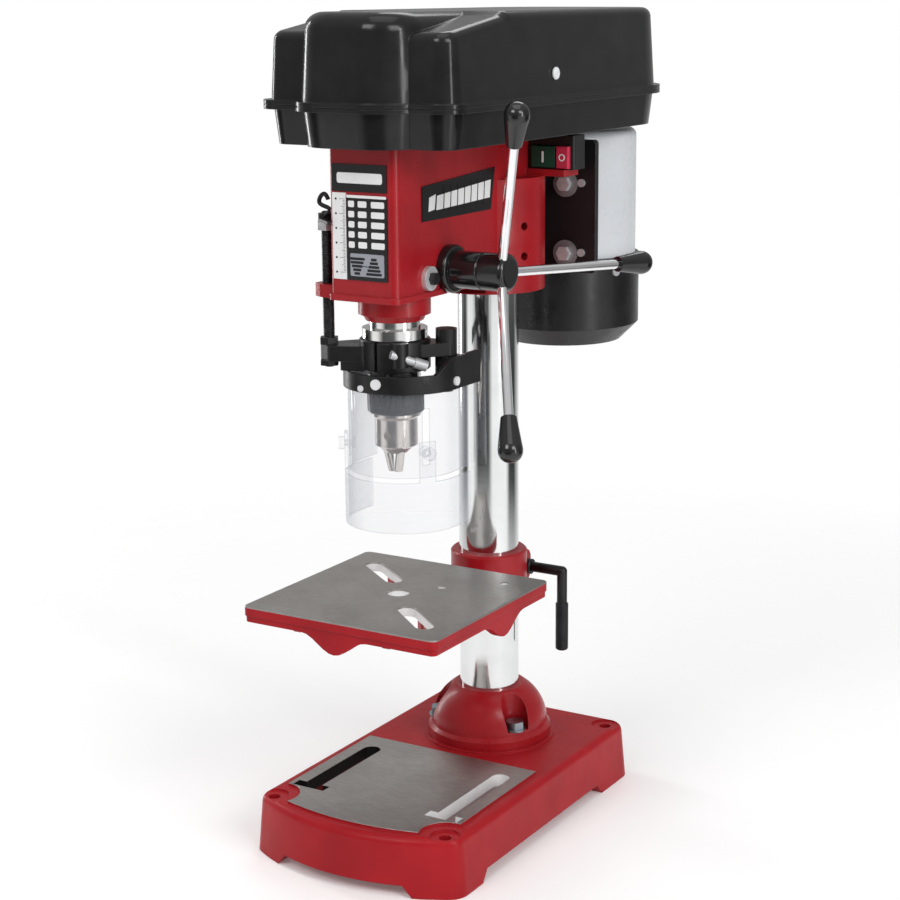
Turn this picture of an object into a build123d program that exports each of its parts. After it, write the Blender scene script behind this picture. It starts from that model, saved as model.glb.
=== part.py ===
from build123d import *
import os
from math import acos, cos, pi, radians, sin, tan

# Bench drill press, in millimetres.
# +Z is up, -Y faces the operator and +X is the operator's right, where the feed handles are.
# The origin is the middle of the base's four bolt holes, on the plane that the base stands on.

os.makedirs("parts", exist_ok=True)

# ---------------------------------------------------------------- driving dimensions
COLUMN_R = 23.0
COLUMN_Y = 65.0
THROAT = 130.0
SPINDLE_Y = COLUMN_Y - THROAT
MOTOR_Y = COLUMN_Y + 120.0

BASE_H = 43.0
PAD_TOP = 44.7
BOLT_X = 73.0
BOLT_Y = 122.5
BASE_HOLE_R = 4.5

FLANGE_TOP = 85.0
FLANGE_BOLT_R = 39.0
FLANGE_BOLT_ANGLES = (-30, 90, 210)
COLUMN_TOP = 474.0

TABLE_SIZE = 160.0
TABLE_TOP = 192.0
TILT_Z = 160.0

HEAD_HALF = 27.5
HEAD_FRONT = -104.0
HEAD_TOP = 514.0
LEDGE_Z = 409.0
ROD_Z = 494.0
ROD_X = 15.0
SLIDE_ROD_R = 6.0

QUILL_R = 18.0
SPINDLE_R = 8.0
CHUCK_TIP = 283.0

MODULE = 1.25
PINION_TEETH = 18
PINION_R = MODULE * PINION_TEETH / 2
RACK_Y = SPINDLE_Y + QUILL_R - 1.6
FEED_Y = RACK_Y + PINION_R
FEED_Z = 426.0

PULLEY_Z = 524.0
STEP_H = 12.5
STEP_R = (20.0, 24.5, 29.0, 33.5, 38.0)
BELT_R = 29.0
BELT_Z = PULLEY_Z + 2.5 * STEP_H

PAN_Z = HEAD_TOP
RIM_Z = 541.0
LID_TOP = 603.0
COVER_HALF = 75.0
COVER_FRONT = -111.0
COVER_REAR = 232.0
HINGE_X = -(COVER_HALF + 9.5)

DEPTH_ROD_X = -38.5
DEPTH_ROD_Y = -90.0

RUN = 0.05          # radial clearance of a running fit
GAP = 0.3           # gap between moving pieces that only pass each other

BOTTOM = (Align.CENTER, Align.CENTER, Align.MIN)


# ---------------------------------------------------------------- helpers
def save(builder, name):
    """Label a finished piece and write it as one STEP file."""
    builder.part.label = name
    export_step(builder.part, f"parts/{name}.step")


def block(x0, x1, y0, y1, z0, z1, mode=Mode.ADD):
    """A box between two corners."""
    with Locations(((x0 + x1) / 2, (y0 + y1) / 2, z0)):
        Box(x1 - x0, y1 - y0, z1 - z0, align=BOTTOM, mode=mode)


def post(x, y, z0, z1, r, mode=Mode.ADD):
    """A cylinder that stands along Z."""
    with Locations((x, y, z0)):
        Cylinder(r, z1 - z0, align=BOTTOM, mode=mode)


def rod_x(x0, x1, y, z, r, mode=Mode.ADD):
    """A cylinder that lies along X."""
    with Locations(Location((x0, y, z), (0, 90, 0))):
        Cylinder(r, x1 - x0, align=BOTTOM, mode=mode)


def rod_y(x, y0, y1, z, r, mode=Mode.ADD):
    """A cylinder that lies along Y."""
    with Locations(Location((x, y0, z), (-90, 0, 0))):
        Cylinder(r, y1 - y0, align=BOTTOM, mode=mode)


def hexagon(plane, across_flats, height, mode=Mode.ADD):
    """A hexagonal head or nut that grows from a plane."""
    with BuildSketch(plane) as outline:
        RegularPolygon(across_flats / 2, 6, major_radius=False)
    extrude(outline.sketch, amount=height, mode=mode)


def turned(points, x, y, mode=Mode.ADD):
    """A turned piece about the upright axis at (x, y), from (radius, z) points."""
    with BuildSketch(Plane.XZ.offset(-y)) as profile:
        with Locations((x, 0)):
            with BuildLine():
                Polyline(*points, close=True)
            make_face()
    revolve(profile.sketch, axis=Axis((x, y, 0), (0, 0, 1)), mode=mode)


def prism_x(points, x0, x1, mode=Mode.ADD):
    """A prism along X, from (y, z) points."""
    with BuildSketch(Plane.YZ.offset(x0)) as profile:
        with BuildLine():
            Polyline(*points, close=True)
        make_face()
    extrude(profile.sketch, amount=x1 - x0, dir=(1, 0, 0), mode=mode)


def prism_y(points, y0, y1, mode=Mode.ADD):
    """A prism along Y, from (x, z) points."""
    with BuildSketch(Plane.XZ.offset(-y0)) as profile:
        with BuildLine():
            Polyline(*points, close=True)
        make_face()
    extrude(profile.sketch, amount=y1 - y0, dir=(0, 1, 0), mode=mode)


def radial(x, y, z, angle):
    """A location on an upright axis whose +Z points outward, at an angle in plan."""
    return Location((x, y, z), (0, 0, angle)) * Location((0, 0, 0), (0, 90, 0))


def flange_bolt_spots():
    """The (x, y) centres of the bolts that hold the column's flange."""
    spots = []
    for angle in FLANGE_BOLT_ANGLES:
        x = FLANGE_BOLT_R * cos(radians(angle))
        y = COLUMN_Y + FLANGE_BOLT_R * sin(radians(angle))
        spots.append((x, y))
    return spots


# ---------------------------------------------------------------- base
BASE_HALF = 88.0
BASE_CORNER_Y = -126.0
BASE_BOW_Y = -152.0
BASE_REAR_Y = 141.0
BASE_DRAFT = 5.0
BASE_WALL = 8.0
BASE_SKIN = 8.0
FOOT_H = 8.5
SLOT_X = 57.0
SLOT_W = 14.0


def base_outline(inset):
    """The base's plan: straight sides and rear, and a front that bows forward."""
    half = BASE_HALF - inset
    rear = BASE_REAR_Y - inset
    corner = BASE_CORNER_Y + inset * 0.7
    bow = BASE_BOW_Y + inset
    with BuildSketch() as plan:
        with BuildLine():
            ThreePointArc((-half, corner), (0, bow), (half, corner))
            Polyline((half, corner), (half, rear), (-half, rear), (-half, corner))
        make_face()
        fillet(vertices(), 15 - inset * 0.6)
    return plan.sketch


with BuildPart() as base:
    extrude(base_outline(0), amount=BASE_H, taper=BASE_DRAFT)
    fillet(faces().sort_by(Axis.Z)[-1].edges(), 6)
    # raised machined pad, cut away round the two front bolt holes
    with BuildSketch(Plane.XY.offset(BASE_H - 3)):
        with BuildLine():
            ThreePointArc((-74, -124), (0, -138), (74, -124))
            Polyline((74, -124), (74, 6), (-74, 6), (-74, -124))
        make_face()
        with Locations((-BOLT_X, -BOLT_Y), (BOLT_X, -BOLT_Y)):
            Circle(19, mode=Mode.SUBTRACT)
    extrude(amount=PAD_TOP - BASE_H + 3)
    # raised seat for the column flange
    post(0, COLUMN_Y, BASE_H - 3, PAD_TOP, 51)
    # hollow underside, with a boss left round every bolt hole
    with BuildSketch():
        add(base_outline(BASE_WALL + 4))
        with Locations((-BOLT_X, -BOLT_Y), (BOLT_X, -BOLT_Y), (-BOLT_X, BOLT_Y), (BOLT_X, BOLT_Y)):
            Circle(13, mode=Mode.SUBTRACT)
    extrude(amount=BASE_H - BASE_SKIN, mode=Mode.SUBTRACT)
    # arches between the four feet
    prism_y([(-58, -1), (58, -1), (50, FOOT_H), (-50, FOOT_H)], -160, 150, Mode.SUBTRACT)
    prism_x([(-97, -1), (90, -1), (82, FOOT_H), (-89, FOOT_H)], -100, 100, Mode.SUBTRACT)
    # the two clamping slots, each with a wider end for the bolt head
    for side in (-1, 1):
        slot_x = side * SLOT_X
        block(slot_x - SLOT_W / 2, slot_x + SLOT_W / 2, -103, -18, 20, 60, Mode.SUBTRACT)
        post(slot_x, -18, 20, 60, SLOT_W / 2, Mode.SUBTRACT)
        block(slot_x - 13.5, slot_x + 13.5, -103, -94, 20, 60, Mode.SUBTRACT)
    # bolt holes in shallow round recesses
    for x in (-BOLT_X, BOLT_X):
        for y in (-BOLT_Y, BOLT_Y):
            post(x, y, -1, 60, BASE_HOLE_R, Mode.SUBTRACT)
            post(x, y, BASE_H - 1.5, 60, 11, Mode.SUBTRACT)
    # tapped holes for the flange bolts
    for x, y in flange_bolt_spots():
        post(x, y, 20, 60, 4.1, Mode.SUBTRACT)
save(base, "base")

# ---------------------------------------------------------------- column flange, bolts and column
FLANGE_R = 48.0
FLANGE_SEAT = 57.0

with BuildPart() as column_flange:
    with BuildSketch(Plane.XZ.offset(-COLUMN_Y)):
        with BuildLine():
            Polyline((0, PAD_TOP), (FLANGE_R, PAD_TOP), (FLANGE_R, 51), (45.5, 53.5))
            ThreePointArc((45.5, 53.5), (39.5, 73), (27, FLANGE_TOP))
            Polyline((27, FLANGE_TOP), (0, FLANGE_TOP), (0, PAD_TOP))
        make_face()
    revolve(axis=Axis((0, COLUMN_Y, 0), (0, 0, 1)))
    post(0, COLUMN_Y, PAD_TOP + 3, 100, COLUMN_R, Mode.SUBTRACT)
    for x, y in flange_bolt_spots():
        post(x, y, FLANGE_SEAT, 100, 10.5, Mode.SUBTRACT)
        post(x, y, 40, 60, 4.3, Mode.SUBTRACT)
save(column_flange, "column_flange")

with BuildPart() as flange_bolts:
    for x, y in flange_bolt_spots():
        post(x, y, 30, FLANGE_SEAT + 1, 4)
        post(x, y, FLANGE_SEAT, FLANGE_SEAT + 1.6, 8.5)
        hexagon(Plane((x, y, FLANGE_SEAT + 1.6)), 13, 5.5)
save(flange_bolts, "flange_bolts")

with BuildPart() as column:
    post(0, COLUMN_Y, PAD_TOP + 3, COLUMN_TOP, COLUMN_R)
    post(0, COLUMN_Y, PAD_TOP + 3, COLUMN_TOP, COLUMN_R - 3, Mode.SUBTRACT)
    chamfer(column.edges().filter_by(GeomType.CIRCLE).sort_by(Axis.Z)[-1], 1)
save(column, "column")

# ---------------------------------------------------------------- head casting
BOSS_R = 43.0
BOSS_BOTTOM = 398.0
BOSS_TOP = 482.0
NECK_REAR = 100.0
BEARING_R = 17.5
SPRING_CAP_R = 24.0
JOURNAL_R = 12.85
SPRING_SHAFT_R = 6.0
LOCK_Y = SPINDLE_Y
LOCK_Z = 422.5

with BuildPart() as head_casting:
    with BuildSketch(Plane.XY.offset(LEDGE_Z)):
        with Locations((0, (HEAD_FRONT + COLUMN_Y) / 2)):
            Rectangle(2 * HEAD_HALF, COLUMN_Y - HEAD_FRONT)
        fillet(vertices().group_by(Axis.Y)[0], 5)
    extrude(amount=HEAD_TOP - LEDGE_Z)
    # spindle boss under the head, stepped down to a collar round the quill
    turned([(0, 396.5), (25.5, 396.5), (25.5, LEDGE_Z + 2), (0, LEDGE_Z + 2)], 0, SPINDLE_Y)
    turned([(0, 392), (20.5, 392), (23, 397), (0, 397)], 0, SPINDLE_Y)
    # ledge round the foot of the head, and the arm that guides the depth rod
    with BuildSketch(Plane.XY.offset(LEDGE_Z)):
        with Locations((0, -38)):
            Rectangle(2 * HEAD_HALF + 3, 136)
        fillet(vertices(), 6)
    extrude(amount=4)
    rod_x(HEAD_HALF, HEAD_HALF + 9, FEED_Y, FEED_Z, 17 + GAP, Mode.SUBTRACT)
    rod_x(-HEAD_HALF - 9, -HEAD_HALF, FEED_Y, FEED_Z, SPRING_CAP_R, Mode.SUBTRACT)
    with BuildSketch(Plane.XY.offset(LEDGE_Z)):
        with BuildLine():
            Polyline((-20, -102), (-40, -98), (-47, -94), (-47, -86), (-40, -82), (-20, -68), (-20, -102))
        make_face()
        fillet(vertices().sort_by(Axis.X)[:2], 3)
    extrude(amount=9)
    # boss that clamps the column, and the neck above it that holds the slide rods
    post(0, COLUMN_Y, BOSS_BOTTOM, BOSS_TOP, BOSS_R)
    block(-HEAD_HALF, HEAD_HALF, 40, NECK_REAR, BOSS_TOP - 4, HEAD_TOP)
    block(20, 60, 74, 96, BOSS_TOP, BOSS_TOP + 5)
    # bores
    post(0, COLUMN_Y, 390, COLUMN_TOP, COLUMN_R, Mode.SUBTRACT)
    post(0, SPINDLE_Y, 380, 488, QUILL_R + RUN, Mode.SUBTRACT)
    post(0, SPINDLE_Y, 487, 530, BEARING_R, Mode.SUBTRACT)
    rod_x(-9, 40, FEED_Y, FEED_Z, JOURNAL_R + RUN, Mode.SUBTRACT)
    rod_x(-60, 0, FEED_Y, FEED_Z, SPRING_SHAFT_R + RUN, Mode.SUBTRACT)
    rod_x(13, 40, LOCK_Y, LOCK_Z, 3.1, Mode.SUBTRACT)
    post(DEPTH_ROD_X, DEPTH_ROD_Y, 400, 430, 4.2, Mode.SUBTRACT)
    for x in (-ROD_X, ROD_X):
        rod_y(x, 4, 110, ROD_Z, SLIDE_ROD_R + RUN, Mode.SUBTRACT)
    # clearance that lightens the casting between the spindle and the column
    block(-20, 20, -18, 30, 452, 482, Mode.SUBTRACT)
    block(-20, 20, -18, 30, 399, 448, Mode.SUBTRACT)
    # holes for the two set screws that clamp the column
    for z in (425, 447):
        with Locations(radial(0, COLUMN_Y, z, -21)):
            with Locations((0, 0, COLUMN_R)):
                Cylinder(3.1, 30, align=BOTTOM, mode=Mode.SUBTRACT)
    # tapped holes for the screws that hold the pulley pan
    for x, y in ((-20, -96), (20, -96), (-20, 88), (20, 88)):
        post(x, y, HEAD_TOP - 12, HEAD_TOP + 1, 2.1, Mode.SUBTRACT)
    # tapped hole for the motor lock screw on the left
    rod_x(-40, -ROD_X, 80, ROD_Z, 4 + RUN, Mode.SUBTRACT)
save(head_casting, "head_casting")

with BuildPart() as head_set_screws:
    for z in (425, 447):
        with Locations(radial(0, COLUMN_Y, z, -21)):
            with Locations((0, 0, COLUMN_R)):
                Cylinder(3, 14, align=BOTTOM)
            with Locations((0, 0, COLUMN_R + 12)):
                Cylinder(1.5, 4, align=BOTTOM, mode=Mode.SUBTRACT)
save(head_set_screws, "head_set_screws")

with BuildPart() as quill_lock_bolt:
    rod_x(18.6, HEAD_HALF + 4, LOCK_Y, LOCK_Z, 3)
    rod_x(HEAD_HALF, HEAD_HALF + 3.5, LOCK_Y, LOCK_Z, 8.5)
    hexagon(Plane((HEAD_HALF + 3.5, LOCK_Y, LOCK_Z), x_dir=(0, 1, 0), z_dir=(1, 0, 0)), 8, 4)
save(quill_lock_bolt, "quill_lock_bolt")

# ---------------------------------------------------------------- plates on the head
PLATE_T = 0.8

with BuildPart() as maker_plate:
    block(-23.5, 20.5, HEAD_FRONT - PLATE_T, HEAD_FRONT, 484, 502.5)
save(maker_plate, "maker_plate")

with BuildPart() as depth_scale:
    block(-23.5, -12.5, HEAD_FRONT - PLATE_T, HEAD_FRONT, 424, 483)
save(depth_scale, "depth_scale")

with BuildPart() as speed_chart:
    block(-12, 20.5, HEAD_FRONT - PLATE_T, HEAD_FRONT, 424, 480.5)
save(speed_chart, "speed_chart")

with BuildPart() as side_badge:
    prism_x([(-72, 462), (21, 462), (27, 492), (-72, 486)], HEAD_HALF, HEAD_HALF + PLATE_T)
save(side_badge, "side_badge")

# ---------------------------------------------------------------- switch
SWITCH_FRONT = 78.0
BUTTON_Z = 496.0
START_X = 41.0
STOP_X = 57.5

with BuildPart() as switch_housing:
    block(HEAD_HALF, 66, SWITCH_FRONT, 96, 487, 512)
    fillet(switch_housing.edges().filter_by(Axis.Z).group_by(Axis.X)[-1], 2)
    block(START_X - 10.5, START_X + 10.5, SWITCH_FRONT - 1, 92, BUTTON_Z - 8.5, BUTTON_Z + 8.5, Mode.SUBTRACT)
    block(STOP_X - 5.5, STOP_X + 5.5, SWITCH_FRONT - 1, 92, BUTTON_Z - 8.5, BUTTON_Z + 8.5, Mode.SUBTRACT)
save(switch_housing, "switch_housing")

with BuildPart() as start_button:
    block(START_X - 10.2, START_X + 10.2, SWITCH_FRONT - 2.5, 84, BUTTON_Z - 8.2, BUTTON_Z + 8.2)
    fillet(start_button.faces().sort_by(Axis.Y)[0].edges(), 1)
save(start_button, "start_button")

with BuildPart() as stop_button:
    block(STOP_X - 5.2, STOP_X + 5.2, SWITCH_FRONT - 3.5, 84, BUTTON_Z - 8.2, BUTTON_Z + 8.2)
    fillet(stop_button.faces().sort_by(Axis.Y)[0].edges(), 1)
save(stop_button, "stop_button")

# ---------------------------------------------------------------- pinion, return spring and feed handles
SPRING_X = -HEAD_HALF
SPRING_DEPTH = 17.0
HUB_X = 70.0
HUB_END = 78.0
SPOKE_COUNT = 3
SPOKE_START = -2.4
SPOKE_LEAN = 19.8
SPOKE_LENGTH = 143.0
KNOB_LENGTH = 32.0


def involute_half_angle(radius):
    """Half the angle that a pinion tooth spans at a radius, thinned a little for backlash."""
    base_radius = PINION_R * cos(radians(20))
    slope = acos(min(1.0, base_radius / radius))
    spread = tan(radians(20)) - radians(20) - (tan(slope) - slope)
    return pi / (2 * PINION_TEETH) + spread - 0.014


with BuildPart() as pinion_shaft:
    with BuildSketch(Plane.YZ.offset(-8)):
        with Locations((FEED_Y, FEED_Z)):
            Circle(PINION_R - 1.25 * MODULE)
        for tooth in range(PINION_TEETH):
            middle = 2 * pi * tooth / PINION_TEETH
            radii = (PINION_R - 1.4 * MODULE, 10.6, 11.1, 11.7, PINION_R + MODULE * 0.95)
            flank = [(r, involute_half_angle(r)) for r in radii]
            outline = [(r, -half) for r, half in flank] + [(r, half) for r, half in reversed(flank)]
            with BuildLine():
                Polyline(
                    *[(FEED_Y + r * cos(middle + a), FEED_Z + r * sin(middle + a)) for r, a in outline],
                    close=True,
                )
            make_face()
    extrude(amount=16)
    rod_x(11.5, HEAD_HALF, FEED_Y, FEED_Z, JOURNAL_R)
    rod_x(8, HUB_END - 8, FEED_Y, FEED_Z, 7)
    rod_x(-HEAD_HALF - 14, -8, FEED_Y, FEED_Z, SPRING_SHAFT_R)
save(pinion_shaft, "pinion_shaft")

with BuildPart() as spring_housing:
    rod_x(SPRING_X - SPRING_DEPTH, SPRING_X, FEED_Y, FEED_Z, SPRING_CAP_R)
    fillet(spring_housing.faces().sort_by(Axis.X)[0].edges(), 3)
    rod_x(SPRING_X - SPRING_DEPTH + 2.5, SPRING_X, FEED_Y, FEED_Z, SPRING_CAP_R - 2.5, Mode.SUBTRACT)
save(spring_housing, "spring_housing")

with BuildPart() as return_spring:
    with BuildSketch(Plane.YZ.offset(SPRING_X - 11)):
        with BuildLine() as spiral:
            for turn in range(9):
                radius = 7.6 + 1.3 * turn
                offset_y = 0 if turn % 2 == 0 else 1.3
                start = 0 if turn % 2 == 0 else 180
                CenterArc((FEED_Y + offset_y, FEED_Z), radius, start, 180)
        trace(line_width=0.8)
    extrude(amount=8)
save(return_spring, "return_spring")


def along_spokes():
    """One location per spoke, with its +Z along the spoke."""
    places = []
    for index in range(SPOKE_COUNT):
        angle = SPOKE_START + 360 / SPOKE_COUNT * index
        turn = Location((HUB_X, FEED_Y, FEED_Z), (angle, 0, 0))
        lean = Location((0, 0, 0), (0, 0, -SPOKE_LEAN))
        places.append(turn * lean * Location((0, 0, 0), (-90, 0, 0)))
    return places


with BuildPart() as feed_hub:
    rod_x(HEAD_HALF + GAP, HEAD_HALF + 7, FEED_Y, FEED_Z, 17)
    fillet(feed_hub.edges().filter_by(GeomType.CIRCLE).sort_by(Axis.X)[-1], 2)
    rod_x(HEAD_HALF + 6, HUB_END, FEED_Y, FEED_Z, 13.2)
    fillet(feed_hub.edges().filter_by(GeomType.CIRCLE).sort_by(Axis.X)[-1], 4)
    rod_x(HEAD_HALF, HUB_END - 8, FEED_Y, FEED_Z, 7, Mode.SUBTRACT)
    with Locations(Location((57, FEED_Y, FEED_Z), (0, 90, 0))):
        Torus(13.6, 1, mode=Mode.SUBTRACT)
    with Locations(*along_spokes()):
        with Locations((0, 0, 7)):
            Cylinder(3.5, 30, align=BOTTOM, mode=Mode.SUBTRACT)
save(feed_hub, "feed_hub")

with BuildPart() as feed_spokes:
    with Locations(*along_spokes()):
        with Locations((0, 0, 8)):
            Cylinder(3.4, SPOKE_LENGTH - KNOB_LENGTH - 8, align=BOTTOM)
        with Locations((0, 0, SPOKE_LENGTH - KNOB_LENGTH)):
            Cylinder(2.9, KNOB_LENGTH - 8, align=BOTTOM)
save(feed_spokes, "feed_spokes")

with BuildPart() as one_knob:
    with BuildSketch(Plane.XZ):
        with BuildLine():
            Polyline((0, KNOB_LENGTH - 8), (2.9, KNOB_LENGTH - 8), (2.9, 0), (5.6, 0), (8.6, KNOB_LENGTH - 9))
            Spline((8.6, KNOB_LENGTH - 9), (6.9, KNOB_LENGTH - 3), (0, KNOB_LENGTH), tangents=((0, 1), (-1, 0)))
            Line((0, KNOB_LENGTH), (0, KNOB_LENGTH - 8))
        make_face()
    revolve(axis=Axis.Z)

with BuildPart() as feed_knobs:
    with Locations(*along_spokes()):
        with Locations((0, 0, SPOKE_LENGTH - KNOB_LENGTH)):
            add(one_knob.part)
save(feed_knobs, "feed_knobs")

# ---------------------------------------------------------------- quill, spindle and chuck
QUILL_BOTTOM = 352.0
QUILL_TOP = 484.0
COLLAR_Z = 379.5
RACK_GAP = 2.2
UPPER_RACE_R = 13.0
SPLINE_ROOT_R = 6.0
SPLINE_TIP_R = 7.2
SPLINE_TEETH = 6
SPINDLE_TOP = 590.0
JAW_COUNT = 3
JAW_LEAN = 13.0
JAW_R = 3.1
JAW_OPEN = 1.95      # from the spindle's axis to each jaw's gripping face, as drawn
SLEEVE_Z = 326.0
SLEEVE_TOP = 347.0
CHUCK_NECK_R = 13.0
CHUCK_TOP = 347.3
CHUCK_R = 15.2
CHUCK_NOSE_Z = 297.0

with BuildPart() as quill:
    post(0, SPINDLE_Y, QUILL_BOTTOM, QUILL_TOP, QUILL_R)
    post(0, SPINDLE_Y, COLLAR_Z, COLLAR_Z + 7, 23)
    post(0, SPINDLE_Y, 340, 500, 11, Mode.SUBTRACT)
    post(0, SPINDLE_Y, QUILL_BOTTOM, QUILL_BOTTOM + 11, 15, Mode.SUBTRACT)
    post(0, SPINDLE_Y, QUILL_TOP - 10, QUILL_TOP, UPPER_RACE_R, Mode.SUBTRACT)
    # rack teeth: flat-sided gaps cut across the quill's rear
    pitch = pi * MODULE
    block(-8, 8, RACK_Y + MODULE, RACK_Y + 6, 404, QUILL_TOP + 1, Mode.SUBTRACT)
    for step in range(-3, 15):
        z = FEED_Z + step * pitch
        slope = tan(radians(20))
        tip = RACK_GAP / 2 + (MODULE + 1) * slope
        root = RACK_GAP / 2 - 1.25 * MODULE * slope
        deep = RACK_Y - 1.25 * MODULE
        out = RACK_Y + MODULE + 1
        prism_x([(out, z - tip), (out, z + tip), (deep, z + root), (deep, z - root)], -8, 8, Mode.SUBTRACT)
save(quill, "quill")


def bearing(x, y, z0, z1, r_in, r_out):
    """A sealed ball bearing: two rings and a recessed shield, as one turned piece."""
    lip = (r_out - r_in) * 0.28
    mid_in = r_in + lip
    mid_out = r_out - lip
    turned(
        [(r_in, z0), (mid_in, z0), (mid_in, z0 + 0.6), (mid_out, z0 + 0.6), (mid_out, z0), (r_out, z0),
         (r_out, z1), (mid_out, z1), (mid_out, z1 - 0.6), (mid_in, z1 - 0.6), (mid_in, z1), (r_in, z1)],
        x, y,
    )


with BuildPart() as quill_bearings:
    bearing(0, SPINDLE_Y, QUILL_BOTTOM, QUILL_BOTTOM + 11, SPINDLE_R + RUN, 15)
    bearing(0, SPINDLE_Y, QUILL_TOP - 10, QUILL_TOP, SPINDLE_R + RUN, UPPER_RACE_R)
save(quill_bearings, "quill_bearings")

with BuildPart() as pulley_bearings:
    bearing(0, SPINDLE_Y, 490, 499, 10 + RUN, BEARING_R)
    bearing(0, SPINDLE_Y, 503, 512, 10 + RUN, BEARING_R)
save(pulley_bearings, "pulley_bearings")

with BuildPart() as spindle:
    post(0, SPINDLE_Y, CHUCK_TOP, QUILL_TOP + 2, SPINDLE_R)
    turned([(0, 329), (6.4, 329), (7.6, CHUCK_TOP), (0, CHUCK_TOP)], 0, SPINDLE_Y)
    post(0, SPINDLE_Y, QUILL_TOP, SPINDLE_TOP, SPLINE_ROOT_R)
    for index in range(SPLINE_TEETH):
        angle = 360 / SPLINE_TEETH * index
        with Locations(Location((0, SPINDLE_Y, QUILL_TOP + 2), (0, 0, angle))):
            Box(2 * SPLINE_TIP_R, 2.2, SPINDLE_TOP - QUILL_TOP - 3, align=BOTTOM)
    # flange that carries the thrust on the lower bearing
    post(0, SPINDLE_Y, QUILL_BOTTOM - 2.5, QUILL_BOTTOM - GAP, 10)
save(spindle, "spindle")

with BuildPart() as chuck_body:
    turned(
        [(0, CHUCK_NOSE_Z), (8.5, CHUCK_NOSE_Z), (12.5, CHUCK_NOSE_Z + 4), (CHUCK_R, CHUCK_NOSE_Z + 5.5),
         (CHUCK_R, SLEEVE_Z - 4), (CHUCK_R + 2.3, SLEEVE_Z - 2), (CHUCK_R + 2.3, SLEEVE_Z),
         (CHUCK_NECK_R, SLEEVE_Z), (CHUCK_NECK_R, CHUCK_TOP), (0, CHUCK_TOP)],
        0, SPINDLE_Y,
    )
    turned([(0, 329), (6.4, 329), (7.6, CHUCK_TOP), (0, CHUCK_TOP)], 0, SPINDLE_Y, Mode.SUBTRACT)
    # three pilot holes for the chuck key
    for index in range(3):
        with Locations(radial(0, SPINDLE_Y, 311, 120 * index - 83)):
            with Locations((0, 0, 9)):
                Cylinder(2.6, 12, align=BOTTOM, mode=Mode.SUBTRACT)
    # three leaning jaw bores, open at the nose
    for index in range(JAW_COUNT):
        turn = Location((0, SPINDLE_Y, CHUCK_TIP), (0, 0, 120 * index + 90))
        with Locations(turn * Location((2.6, 0, 0), (0, JAW_LEAN, 0))):
            Cylinder(3.4, 52, align=BOTTOM, mode=Mode.SUBTRACT)
    post(0, SPINDLE_Y, CHUCK_NOSE_Z - 1, CHUCK_NOSE_Z + 24, 4, Mode.SUBTRACT)
save(chuck_body, "chuck_body")

for index in range(JAW_COUNT):
    with BuildPart() as jaw:
        turn = Location((0, SPINDLE_Y, CHUCK_TIP), (0, 0, 120 * index + 90))
        with Locations(turn * Location((2.6, 0, 0), (0, JAW_LEAN, 0))):
            Cylinder(JAW_R, 36, align=BOTTOM)
        # gripping face, parallel to the spindle, and the flat tip
        with Locations(turn):
            with Locations((JAW_OPEN - 10, 0, -4)):
                Box(20, 20, 50, align=BOTTOM, mode=Mode.SUBTRACT)
            with Locations((0, 0, -5)):
                Box(30, 30, 5, align=BOTTOM, mode=Mode.SUBTRACT)
    save(jaw, f"jaw_{index + 1}")

with BuildPart() as chuck_sleeve:
    post(0, SPINDLE_Y, SLEEVE_Z + GAP, SLEEVE_TOP, 20.1)
    chamfer(chuck_sleeve.edges().filter_by(GeomType.CIRCLE), 1.2)
    post(0, SPINDLE_Y, SLEEVE_Z, SLEEVE_TOP + 1, CHUCK_NECK_R + RUN, Mode.SUBTRACT)
    # room for the jaws to rise as they open
    post(0, SPINDLE_Y, SLEEVE_Z, SLEEVE_Z + 11, 17.8, Mode.SUBTRACT)
    # grip flutes round the sleeve
    for index in range(24):
        angle = radians(15 * index)
        x = 20.9 * cos(angle)
        y = SPINDLE_Y + 20.9 * sin(angle)
        post(x, y, SLEEVE_Z + 6, SLEEVE_TOP - 3, 1.2, Mode.SUBTRACT)
save(chuck_sleeve, "chuck_sleeve")

# ---------------------------------------------------------------- clamp on the quill, and the depth rod
CLAMP_Z = 357.5
CLAMP_TOP = 379.0
ARM_Z = 364.0
PIVOT_X = 33.0
PIVOT_Y = -50.0
PIVOT_R = 2.5
PIVOT_TOP = 386.0
HOLDER_Z = 344.0
HOLDER_TOP = 367.0


def clamp_screw_place():
    """The clamp screw's middle, with +Z along it, down and round to the right."""
    return Location((21.5, -81.5, 367), (0, 0, 47)) * Location((0, 0, 0), (0, 111, 0))


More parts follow.
